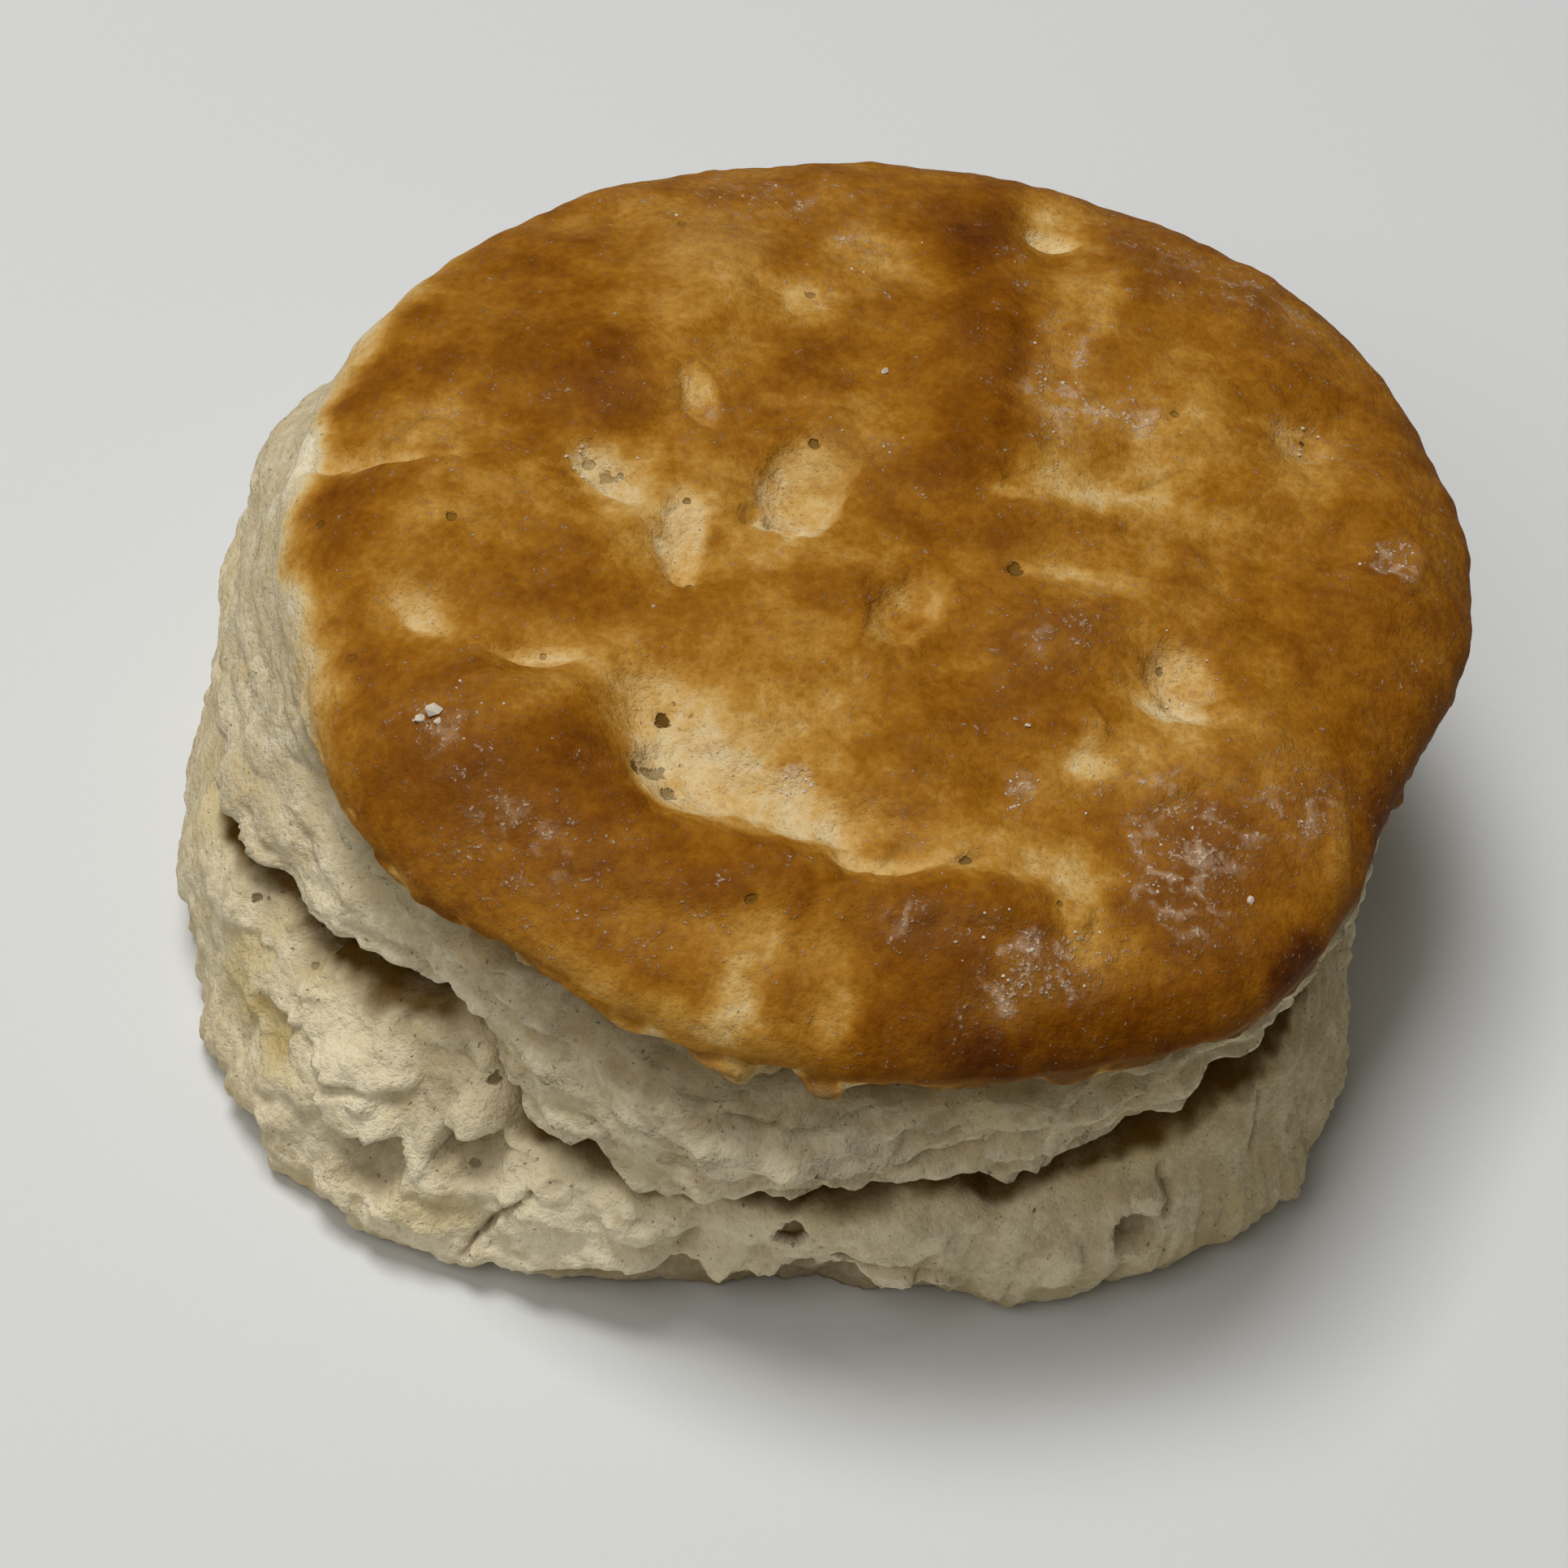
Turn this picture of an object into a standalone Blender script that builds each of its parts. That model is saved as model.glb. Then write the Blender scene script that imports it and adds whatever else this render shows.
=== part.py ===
"""A soft flaky biscuit: one piece of dough that rose in layers and slumped to one side.

The solid is a closed skin around a leaning axis. At every angle round that axis the skin runs
from the middle of the browned crown over the crust's edge, in under the crust's lip, down the
upper wall to a ragged shelf, in under the shelf to a dark crevice, out over the skirt to the
base edge and under it to the flat bottom. Each of those stations is a ring with a radius and a
height, and each ring swells or draws in at a few named places.

Sizes are in millimetres, and the finished mesh is in metres. The origin is on the table at the
middle of the bottom, +Z is up and the side that faces the camera in the photograph is -Y.
"""

import math

import bmesh
import bpy
import numpy as np

MILLIMETRE = 0.001

# Overall sizes of the biscuit.
CRUST_RADIUS = 37.6
CRUST_EDGE_HEIGHT = 28.4
CROWN_RISE = 6.0
NECK_RADIUS = 36.5
NECK_HEIGHT = 24.4
WALL_RADIUS = 36.4
SKIRT_RADIUS = 37.3
SKIRT_HEIGHT = 8.0
BASE_RADIUS = 39.3
BASE_EDGE_HEIGHT = 3.0
FOOT_TUCK = 2.4
LEAN_PER_HEIGHT = 0.18

# How finely the skin is divided.
SEGMENTS = 96
CROWN_ROWS = 21
BOTTOM_STOPS = (1.0, 0.8, 0.52, 0.24, 0.0)

# Rows of faces between one ring of the side and the next, from the crust's edge to the floor.
SIDE_ROWS = (2, 2, 3, 3, 2, 2, 2, 4, 3, 3, 2, 1)

# Swellings and hollows of each ring: angle in degrees, spread in degrees, push outwards.
CRUST_SWELLS = (
    (48, 26, 1.4),
    (98, 30, -0.9),
    (-17, 17, -2.9),
    (-52, 11, 1.4),
    (-78, 12, 0.7),
    (-98, 10, 0.4),
    (-135, 10, 0.8),
    (-158, 9, -0.9),
)
NECK_SWELLS = (
    (48, 26, 1.3),
    (-17, 17, -0.5),
    (-97, 7, 1.4),
    (-130, 9, -0.5),
    (168, 26, 2.2),
)
WALL_SWELLS = (
    (52, 25, 1.5),
    (-95, 12, 1.4),
    (-126, 14, -0.8),
    (-165, 14, 1.6),
    (160, 20, 4.0),
    (-8, 16, -0.9),
)
SHELF_SWELLS = (
    (-8, 16, -0.8),
    (52, 30, 1.4),
    (-97, 7, 1.4),
    (-128, 12, -2.4),
    (-152, 14, 2.6),
    (-172, 14, 2.4),
    (158, 17, 5.4),
)
SKIRT_SWELLS = (
    (157, 18, 4.0),
    (-176, 12, 0.4),
    (-158, 10, 0.9),
    (-135, 18, 2.2),
    (-88, 14, -1.2),
    (-42, 18, 2.6),
    (55, 30, 1.2),
)
BASE_SWELLS = (
    (-128, 17, 3.0),
    (-80, 17, -3.0),
    (-30, 17, 3.2),
    (-54, 13, 1.0),
    (-3, 11, -2.2),
    (180, 15, -1.6),
    (150, 14, 0.8),
)

# The shelf is highest at the left, and spirals down towards the front and the right.
SHELF_HEIGHT = 14.2
SHELF_RISES = ((-145, 26, 2.8), (-124, 5, 1.2), (165, 26, 2.0), (70, 40, -1.5))

# How far the crevice goes in under the shelf. It closes where two layers have grown together.
CREVICE_DEPTH = 2.3
CREVICE_CHANGES = (
    (-117, 5, -1.7),
    (165, 24, -2.1),
    (-142, 10, 0.5),
    (-60, 16, 0.5),
    (20, 18, -1.2),
    (100, 22, -1.5),
)

# Broad humps and hollows of the crown: place across and along, spread, height.
CROWN_LUMPS = (
    ("brown hump behind the middle", (4, 8), 6.5, 0.6),
    ("brown hump at the front left", (-21, -22), 6.5, 0.8),
    ("brown hump at the left", (-31, -5), 5.0, 0.5),
    ("brown hump at the back left", (-15, 13), 6.5, 0.7),
    ("brown hump at the front", (8, -30), 6.0, 0.6),
    ("brown hump right of the middle", (9, -9), 5.0, 0.4),
    ("pale valley at the left of the middle", (-13, -18), 3.5, -1.0),
    ("pale valley before the middle", (-9, -22), 3.2, -0.8),
    ("pale valley at the front", (-3.5, -23.5), 3.5, -0.8),
    ("front blister", (1, -25), 3.2, -0.6),
    ("round blister left of the middle", (-6.8, 1.5), 3.3, -0.8),
    ("square blister before the middle", (0.6, -7), 2.6, -0.4),
    ("pitted hollow", (-19.5, 0), 2.4, -0.6),
    ("oblong hollow", (-13.5, -5.5), 2.6, -0.6),
    ("three-cornered hollow", (-27, -12), 2.6, -0.5),
    ("long hollow at the left", (-21, -15.5), 2.4, -0.6),
    ("furrow at the left edge", (-36, 0), 3.2, -0.9),
    ("hollow at the right", (17.5, -9), 3.2, -0.7),
    ("hollow at the far right", (25, 13), 3.2, -0.6),
    ("hollow at the far edge", (6.5, 28.5), 2.6, -0.6),
    ("pale slope at the right", (19, 4), 8.0, -0.4),
)

# Pits and swellings of the side: angle, height, spread, push outwards.
SIDE_LUMPS = (
    ("crater at the lower left", -123, 8.5, 2.4, -1.2),
    ("crater under the shelf at the left", -123, 12.2, 1.8, -0.9),
    ("crater nearer the front", -115, 9.0, 1.8, -0.9),
    ("knob between the craters", -119, 10.6, 1.6, 0.7),
    ("knob at the left below the shelf", -150, 10.5, 5.0, 0.7),
    ("pit in the right of the skirt", -50, 8.3, 1.8, -1.2),
    ("pit above it", -47, 10.3, 1.6, -0.8),
    ("square hole at the front", -83, 9.0, 1.4, -1.4),
    ("hollow between the feet", -88, 3.0, 3.0, -0.7),
    ("flake over the middle of the crevice", -90, 15.5, 2.2, 0.7),
    ("ridge where the two shelves part", -112, 17.0, 2.6, 0.8),
    ("bulge of the left shoulder", 172, 19.0, 7.0, 0.6),
)

# Unevenness of the dough: size of the lumps and how far they stand out.
WALL_NOISE = (7.5, 0.65)
CROWN_NOISE = (8.5, 0.55)
EDGE_NOISE = (3.6, 0.75)

LATTICE = 24
SEED = 29

CRUMB_COLOUR = (0.50, 0.40, 0.26, 1.0)
CRUST_COLOUR = (0.30, 0.14, 0.03, 1.0)


def clear_scene():
    """Remove whatever objects the file opened with."""
    for item in list(bpy.data.objects):
        bpy.data.objects.remove(item, do_unlink=True)


def ring(angle, size, swells):
    """Value of a ring at each angle: its size plus its named swellings."""
    total = np.full_like(angle, float(size))
    for centre, spread, push in swells:
        apart = (angle - math.radians(centre) + math.pi) % (2 * math.pi) - math.pi
        total += push * np.exp(-((apart / math.radians(spread)) ** 2))
    return total


def ease(value):
    """Smooth step from 0 to 1."""
    bounded = np.clip(value, 0.0, 1.0)
    return bounded * bounded * (3.0 - 2.0 * bounded)


def dough_noise(points, size, seed):
    """Gradient noise of about -1 to 1, whose lumps are about as wide as size."""
    maker = np.random.default_rng(seed)
    slopes = maker.normal(size=(LATTICE, LATTICE, LATTICE, 3))
    slopes /= np.linalg.norm(slopes, axis=3, keepdims=True)
    scaled = points / size
    cell = np.floor(scaled).astype(int)
    inside = scaled - cell
    blend = inside ** 3 * (inside * (inside * 6.0 - 15.0) + 10.0)
    total = np.zeros(len(points))
    for corner in np.ndindex(2, 2, 2):
        offset = np.array(corner)
        slope = slopes[tuple(((cell + offset) % LATTICE).T)]
        weight = np.prod(np.where(offset == 1, blend, 1.0 - blend), axis=1)
        total += weight * np.sum((inside - offset) * slope, axis=1)
    return total * 1.7


def edge_noise(angle, radius, seed, size=EDGE_NOISE[0], height=0.0):
    """Noise that changes round a ring of the given radius but not across it."""
    points = np.stack(
        [radius * np.cos(angle), radius * np.sin(angle), np.full_like(angle, height)], axis=1
    )
    return dough_noise(points, size, seed)


def side_rings(angle):
    """Radius and height of every ring of the side at each angle, from crust to floor."""
    ragged = EDGE_NOISE[1]
    crust = ring(angle, CRUST_RADIUS, CRUST_SWELLS) + 0.25 * edge_noise(angle, 38, SEED + 1)
    crust_z = CRUST_EDGE_HEIGHT + 0.5 * edge_noise(angle, 38, SEED + 2, 9.0)
    neck = ring(angle, NECK_RADIUS, NECK_SWELLS)
    wall = ring(angle, WALL_RADIUS, WALL_SWELLS)
    shelf = ring(angle, 36.0, SHELF_SWELLS) + ragged * edge_noise(angle, 36, SEED + 3)
    shelf_z = ring(angle, SHELF_HEIGHT, SHELF_RISES)
    shelf_z += 0.8 * edge_noise(angle, 36, SEED + 4, 5.0)
    depth = np.maximum(ring(angle, CREVICE_DEPTH, CREVICE_CHANGES), 0.15)
    under = shelf - 0.45 * depth
    crevice = shelf - depth
    skirt = ring(angle, SKIRT_RADIUS, SKIRT_SWELLS)
    lip = 0.45 * (shelf - 0.3 * depth) + 0.55 * skirt - 0.9
    base = ring(angle, BASE_RADIUS, BASE_SWELLS) + 0.6 * edge_noise(angle, 41, SEED + 5)
    stations = (
        (crust - 0.5, crust_z + 2.0),
        (crust, crust_z),
        (crust - 0.3 * (crust - neck) - 0.1, crust_z - 2.0),
        (neck, np.full_like(angle, NECK_HEIGHT)),
        (wall, 0.5 * (NECK_HEIGHT + shelf_z) + 0.6),
        (shelf, shelf_z),
        (under, shelf_z - 0.7),
        (crevice, shelf_z - 1.4),
        (lip, shelf_z - 2.6),
        (0.5 * (skirt + lip) + 0.7, 0.5 * (SKIRT_HEIGHT + shelf_z) - 1.0),
        (0.45 * skirt + 0.55 * base + 0.6, np.full_like(angle, 2.0 * BASE_EDGE_HEIGHT)),
        (base, np.full_like(angle, BASE_EDGE_HEIGHT)),
        (base - 0.4 * FOOT_TUCK, np.full_like(angle, 0.25 * BASE_EDGE_HEIGHT)),
        (base - FOOT_TUCK, np.zeros_like(angle)),
        (base - 2 * FOOT_TUCK, np.zeros_like(angle)),
    )
    radii = np.stack([station[0] for station in stations], axis=1)
    heights = np.stack([station[1] for station in stations], axis=1)
    return radii, heights


def along_side(controls, place):
    """Smooth curve through the rings, read at a fractional ring number for each point."""
    start = np.clip(np.floor(place).astype(int), 0, controls.shape[1] - 4)
    step = place - start
    rows = np.arange(len(place))
    before, here, after, beyond = (controls[rows, start + shift] for shift in range(4))
    return 0.5 * (
        2.0 * here
        + (after - before) * step
        + (2.0 * before - 5.0 * here + 4.0 * after - beyond) * step ** 2
        + (3.0 * here - before - 3.0 * after + beyond) * step ** 3
    )


def crown_point(angle, reach):
    """Plan position and height of the crown at a share of the way to its edge."""
    crust = ring(angle, CRUST_RADIUS, CRUST_SWELLS) + 0.25 * edge_noise(angle, 38, SEED + 1)
    edge_z = CRUST_EDGE_HEIGHT + 0.5 * edge_noise(angle, 38, SEED + 2, 9.0)
    radius = crust * reach
    across = radius * np.cos(angle)
    along = radius * np.sin(angle)
    level = (1.0 - ease(reach)) * CRUST_EDGE_HEIGHT + ease(reach) * edge_z
    height = level + CROWN_RISE * (1.0 - reach ** 4) ** 0.5
    inner = ease((1.0 - reach) / 0.12)
    for _, (x, y), spread, rise in CROWN_LUMPS:
        gap = (across - x) ** 2 + (along - y) ** 2
        height += inner * rise * np.exp(-gap / spread ** 2)
    points = np.stack([across, along, np.zeros_like(across)], axis=1)
    height += inner * CROWN_NOISE[1] * dough_noise(points, CROWN_NOISE[0], SEED + 6)
    return across, along, height


def side_point(angle, place):
    """Position of the side at a ring number, with its lumps and pits."""
    radii, heights = side_rings(angle)
    radius = along_side(radii, place)
    height = along_side(heights, place)
    points = np.stack([radius * np.cos(angle), radius * np.sin(angle), height], axis=1)
    fade = ease(place / 2.0) * ease((len(SIDE_ROWS) - place) / 2.5)
    radius = radius + fade * WALL_NOISE[1] * dough_noise(points, WALL_NOISE[0], SEED + 7)
    for _, centre, level, spread, push in SIDE_LUMPS:
        apart = (angle - math.radians(centre) + math.pi) % (2 * math.pi) - math.pi
        gap = (apart * 38.0) ** 2 + (height - level) ** 2
        radius = radius + fade * push * np.exp(-gap / spread ** 2)
    return radius * np.cos(angle), radius * np.sin(angle), height


def row_stops():
    """Which stretch of the profile each row of vertices lies on, and how far along it."""
    stops = []
    for row in range(CROWN_ROWS):
        share = row / CROWN_ROWS
        stops.append(("crown", share + 0.16 * math.sin(math.pi * share)))
    for number, rows in enumerate(SIDE_ROWS):
        stops += [("side", number + step / rows) for step in range(rows)]
    stops += [("bottom", share) for share in BOTTOM_STOPS]
    return stops


def skin_positions(angle, row, stops):
    """Positions in metres of all vertices, given each one's angle and row."""
    out = np.zeros((len(angle), 3))
    kinds = np.array([stop[0] for stop in stops])
    shares = np.array([stop[1] for stop in stops])
    kind = kinds[row]
    share = shares[row]
    crown = kind == "crown"
    out[crown] = np.stack(crown_point(angle[crown], share[crown]), axis=1)
    side = kind == "side"
    out[side] = np.stack(side_point(angle[side], share[side]), axis=1)
    bottom = kind == "bottom"
    radii, _ = side_rings(angle[bottom])
    reach = radii[:, len(SIDE_ROWS) + 1] * share[bottom]
    out[bottom, 0] = reach * np.cos(angle[bottom])
    out[bottom, 1] = reach * np.sin(angle[bottom])
    out[:, 0] += LEAN_PER_HEIGHT * out[:, 2]
    out[:, 2] = np.maximum(out[:, 2], 0.0)
    return out * MILLIMETRE


def make_biscuit(material):
    """Build the biscuit from a sphere whose rows become the rows of the skin."""
    stops = row_stops()
    rows = len(stops) - 1
    body = bmesh.new()
    bmesh.ops.create_uvsphere(body, u_segments=SEGMENTS, v_segments=rows, radius=1.0)
    body.verts.ensure_lookup_table()
    start = np.array([vert.co[:] for vert in body.verts])
    angle = np.arctan2(start[:, 1], start[:, 0])
    row = np.rint(np.arccos(np.clip(start[:, 2], -1.0, 1.0)) / math.pi * rows).astype(int)
    for vert, place in zip(body.verts, skin_positions(angle, row, stops)):
        vert.co = place
    bmesh.ops.triangulate(body, faces=body.faces)
    bmesh.ops.recalc_face_normals(body, faces=body.faces)
    mesh = bpy.data.meshes.new("biscuit")
    body.to_mesh(mesh)
    body.free()
    mesh.materials.append(material)
    mesh.shade_smooth()
    item = bpy.data.objects.new("biscuit", mesh)
    bpy.context.scene.collection.objects.link(item)
    return item


def baked_dough():
    """Matte baked dough, coloured between the pale side and the browned crown."""
    material = bpy.data.materials.new("baked_dough")
    material.use_nodes = True
    surface = material.node_tree.nodes["Principled BSDF"]
    mixed = [0.5 * (pale + brown) for pale, brown in zip(CRUMB_COLOUR, CRUST_COLOUR)]
    surface.inputs["Base Color"].default_value = mixed
    surface.inputs["Roughness"].default_value = 0.7
    surface.inputs["Metallic"].default_value = 0.0
    return material


def main():
    """Make the biscuit in an empty scene."""
    clear_scene()
    make_biscuit(baked_dough())


main()
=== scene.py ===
"""A soft flaky biscuit on a pale floor, dressed over its solid.

The dough is one closed skin around a leaning axis. It is made here as two closed pieces that
meet unseen at the back of the crevice: the crown with the upper wall, and the skirt with the
bottom. Both are laid out on rings as the solid is, with some rings moved by a few millimetres,
and add the finer relief: blisters, pinholes, torn sheets, craters, cracks and ragged edges.
Shape sizes are in millimetres until a mesh is written, and angles are in degrees round the
axis, with -90 at the side that faces the camera.
"""

import logging
import math
from collections.abc import Iterable
from dataclasses import dataclass
from enum import Enum, IntEnum
from functools import lru_cache

import bmesh
import bpy
import numpy as np
from mathutils import Matrix, Vector


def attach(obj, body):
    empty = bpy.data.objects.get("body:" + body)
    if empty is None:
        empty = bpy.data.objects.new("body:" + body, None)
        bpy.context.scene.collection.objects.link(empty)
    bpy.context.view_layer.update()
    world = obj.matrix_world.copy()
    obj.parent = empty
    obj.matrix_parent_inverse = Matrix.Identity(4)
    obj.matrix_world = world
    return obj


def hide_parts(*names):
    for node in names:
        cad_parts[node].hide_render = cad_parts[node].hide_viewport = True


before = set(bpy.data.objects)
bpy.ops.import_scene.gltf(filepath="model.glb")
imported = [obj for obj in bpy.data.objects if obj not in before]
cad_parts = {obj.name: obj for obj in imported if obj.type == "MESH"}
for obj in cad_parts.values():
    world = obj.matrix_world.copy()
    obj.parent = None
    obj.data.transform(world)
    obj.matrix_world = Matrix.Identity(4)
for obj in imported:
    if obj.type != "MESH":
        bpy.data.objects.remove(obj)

MILLIMETRE = 0.001
LATTICE = 24
SIDE_RADIUS = 38.0
WALL_RADIUS = 36.0
BASE_RADIUS = 41.0
CRUST_HEIGHT = 28.4
INSIDE_HEIGHT = 12.6
PINHOLE_SPREAD = 1.25
MAP_GAP = 0.006
CRUMB_REACH = 35.0
CROWN_ROWS = 112
UPPER_SEGMENTS = 576
LOWER_SEGMENTS = 752
FULL_TURN = 2.0 * math.pi

LOG = logging.getLogger("biscuit")

Colour = tuple[float, float, float, float]


class Grain(IntEnum):
    """The number that each noise is drawn from, so that every run is the same."""

    CRUMBS = 29
    CRUST_EDGE = 30
    CRUST_HEIGHT = 31
    SHELF_EDGE = 32
    SHELF_HEIGHT = 33
    BASE = 34
    CROWN_BROAD = 35
    SIDE_BROAD = 36
    CRUST_FRINGE = 40
    RAGGED = 41
    RAGGED_FINE = 42
    SHELF_WAVES = 43
    BASE_FINE = 44
    BASE_FINEST = 45
    UNDER_LAYER = 46
    BASE_TEETH = 47
    UNDER_EDGE = 48
    CROWN_COARSE = 49
    CROWN_FINE = 50
    CROWN_RELIEF = 51
    WRINKLES = 52
    WRINKLED_GROUND = 53
    CROWN_BROWN = 54
    CROWN_BROWN_FINE = 55
    CROWN_FLOUR = 56
    CROWN_FADE = 57
    CROWN_FINEST = 58
    WALL_LAYERS = 59
    WALL_FOLDS = 60
    WALL_PLATES = 61
    WALL_FINE = 62
    LIP_RAGGED = 63
    LIP_RAGGED_FINE = 64
    LIP_BROWN = 65
    WALL_BROWN = 66
    WALL_PUFFS = 67
    WALL_SHEETS = 68
    UNDER_EDGE_FINE = 69
    TORN_CRUST = 75
    SKIRT_LAYERS = 79
    SKIRT_PLATES = 80
    SKIRT_PUFFS = 81
    SKIRT_FINE = 82
    SKIRT_WARM = 83
    SKIRT_BROWN = 84
    SKIRT_FLOUR = 85
    SKIRT_SMALL_PUFFS = 86
    SKIRT_SMALL_PLATES = 90


class Line(IntEnum):
    """Named lines round the side, by their ring numbers from the crust down to the floor."""

    CRUST_EDGE = 0
    UNDER_CRUST = 1
    NECK = 2
    WALL = 3
    SHELF = 4
    CREVICE_BACK = 6
    SKIRT_LIP = 7
    SKIRT = 8
    BASE = 10
    UNDER_BASE = 11
    FLOOR = 13


class Tone(Enum):
    """The values that the skin carries from point to point for its finish."""

    BROWN = "brown"
    FLOUR = "flour"
    # The deep tone carries painted shade: in pores, holes, cracks, creases, the neck and the
    # crevice, and on the shaded left and right sides.
    PAINTED_SHADE = "deep"
    # The warm tone is partly real moist yellow dough and partly warm painted shade at the right
    # and under the shelf.
    WARM = "warm"


@lru_cache(maxsize=None)
def lattice_slopes(seed: int) -> np.ndarray:
    """Random unit slopes on a repeating cube of points.

    Args:
        seed: Which set of slopes to make.

    Returns:
        Slopes, one for each point of the cube.
    """
    maker = np.random.default_rng(seed)
    slopes = maker.normal(size=(LATTICE, LATTICE, LATTICE, 3))
    slopes /= np.linalg.norm(slopes, axis=3, keepdims=True)
    return slopes


def ease(value: np.ndarray) -> np.ndarray:
    """Smooth step from 0 to 1."""
    bounded = np.clip(value, 0.0, 1.0)
    return bounded * bounded * (3.0 - 2.0 * bounded)


def dough_noise(points: np.ndarray, size: float | tuple[float, ...], seed: int) -> np.ndarray:
    """Gradient noise of about -1 to 1.

    Args:
        points: Places in millimetres, one row each.
        size: How wide the lumps are, one number or one along each axis.
        seed: Which noise it is.

    Returns:
        The noise at each place.
    """
    slopes = lattice_slopes(seed)
    scaled = points / np.array(size)
    cell = np.floor(scaled).astype(int)
    inside = scaled - cell
    blend = inside ** 3 * (inside * (inside * 6.0 - 15.0) + 10.0)
    total = np.zeros(len(points))
    for corner in np.ndindex(2, 2, 2):
        offset = np.array(corner)
        slope = slopes[tuple(((cell + offset) % LATTICE).T)]
        weight = np.prod(np.where(offset == 1, blend, 1.0 - blend), axis=1)
        total += weight * np.sum((inside - offset) * slope, axis=1)
    return total * 1.7


def layered_noise(points: np.ndarray, size: float, seed: int, layers: int = 3) -> np.ndarray:
    """Noise of ever smaller lumps, each layer half as wide and half as strong.

    Args:
        points: Places in millimetres.
        size: How wide the broadest lumps are.
        seed: Which noise it is.
        layers: How many layers are summed.

    Returns:
        The summed noise at each place.
    """
    total = np.zeros(len(points))
    for layer in range(layers):
        total += dough_noise(points, size / 2.0 ** layer, seed + 40 * layer) / 2.0 ** layer
    return total


def torn_plates(points: np.ndarray, size: float, seed: int, flat: float = 2.2) -> np.ndarray:
    """Plates at two levels with steep ragged edges, as torn dough has.

    Args:
        points: Places in millimetres.
        size: How wide the plates are.
        seed: Which plates they are.
        flat: How much wider than high they are.

    Returns:
        About -1 on the low plates and 1 on the high ones.
    """
    lying = points * np.array([1.0, 1.0, flat])
    edge = dough_noise(lying, size, seed) + 0.35 * dough_noise(lying, size / 2.6, seed + 1)
    return np.tanh(3.6 * edge + 0.5 * dough_noise(points, size / 6.0, seed + 2))


def puffs(points: np.ndarray, size: float, seed: int) -> np.ndarray:
    """Small puffs with creases between them, 0 in a crease and 1 on a puff."""
    return np.minimum(np.abs(dough_noise(points, size, seed)) * 2.4, 1.0)


def turned_apart(angle: np.ndarray, centre: float) -> np.ndarray:
    """Signed angle in radians from a centre in degrees, the short way round."""
    return (angle - math.radians(centre) + math.pi) % FULL_TURN - math.pi


def bell(value: np.ndarray, centre: float | np.ndarray, spread: float) -> np.ndarray:
    """Bell curve: 1 at the centre, fading out over the spread."""
    return np.exp(-(((value - centre) / spread) ** 2))


def by_side(angle: np.ndarray, centre: float, spread: float) -> np.ndarray:
    """How near each angle is to a side of the biscuit.

    Args:
        angle: Angles in radians.
        centre: The middle of that side, in degrees.
        spread: How far it reaches, in radians.

    Returns:
        From 1 at the middle to 0 well away from it.
    """
    return np.exp(-((turned_apart(angle, centre) / spread) ** 2))


def past(place: np.ndarray, line: float | np.ndarray, over: float) -> np.ndarray:
    """Smooth step from 0 at a line of the side to 1 a little below it."""
    return ease((place - line) / over)


def short_of(place: np.ndarray, line: float | np.ndarray, over: float) -> np.ndarray:
    """Smooth step from 0 at a line of the side to 1 a little above it."""
    return ease((line - place) / over)


def dimple(across: np.ndarray, along: np.ndarray, spread: float) -> np.ndarray:
    """Round bump of height 1 about a point, from the distances to it both ways."""
    return np.exp(-(across ** 2 + along ** 2) / spread ** 2)


def on_ring(
    angle: np.ndarray, radius: float | np.ndarray, height: float | np.ndarray = 0.0
) -> np.ndarray:
    """Points round the axis, from their angles, radii and heights."""
    level = np.full_like(angle, height)
    return np.stack([radius * np.cos(angle), radius * np.sin(angle), level], axis=1)


@dataclass(frozen=True)
class Ring:
    """One line round the biscuit, whose radius or height swells and draws in.

    Attributes:
        size: The value where nothing is added.
        swells: Angle in degrees, spread in degrees and push of each swelling.
    """

    size: float
    swells: tuple[tuple[float, float, float], ...] = ()

    def at(self, angle: np.ndarray) -> np.ndarray:
        """Value at each angle in radians."""
        total = np.full_like(angle, float(self.size))
        for centre, spread, push in self.swells:
            total += push * by_side(angle, centre, math.radians(spread))
        return total


@dataclass(frozen=True)
class Mark:
    """An oval patch of the skin, such as a blister, a hump, a pit or a stain.

    Attributes:
        x: Place across the crown, or angle in degrees on the side.
        y: Place along the crown, or height on the side.
        wide: Half its width.
        long: Half its length.
        turn: How far it is turned, in degrees.
        soft: How soft its edge is, from 0.1 for crisp to 1.
        lift: How far it stands out, or in where negative.
        lip: How far a rim round it stands out.
        brown: How much more browned it is; on the side, a negative brown on a raised part is a
            painted highlight.
        flour: How much flour lies on it.
        deep: How much painted shade darkens it, as inside a hole.
        warm: How yellow and moist it looks.
    """

    x: float
    y: float
    wide: float
    long: float
    turn: float = 0.0
    soft: float = 0.8
    lift: float = 0.0
    lip: float = 0.0
    brown: float = 0.0
    flour: float = 0.0
    deep: float = 0.0
    warm: float = 0.0

    def reach(self, across: np.ndarray, along: np.ndarray, wobble: np.ndarray) -> np.ndarray:
        """How far out each point lies, with 1 at the edge.

        Args:
            across: First distance from the mark's middle.
            along: Second distance from the mark's middle.
            wobble: Unevenness of the outline.

        Returns:
            Distance from the middle as a share of the mark's half size.
        """
        cos, sin = math.cos(math.radians(self.turn)), math.sin(math.radians(self.turn))
        first = (cos * across + sin * along) / self.wide
        second = (cos * along - sin * across) / self.long
        return np.sqrt(first ** 2 + second ** 2) * (1.0 + wobble)

    def cover(self, reach: np.ndarray) -> np.ndarray:
        """How fully the mark covers each point, from its reach."""
        return 1.0 - ease((reach - 1.0 + self.soft) / (2.0 * self.soft))

    def rim(self, reach: np.ndarray) -> np.ndarray:
        """How near each point is to the mark's edge, from its reach."""
        return bell(reach, 1.0, 0.28)


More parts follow.
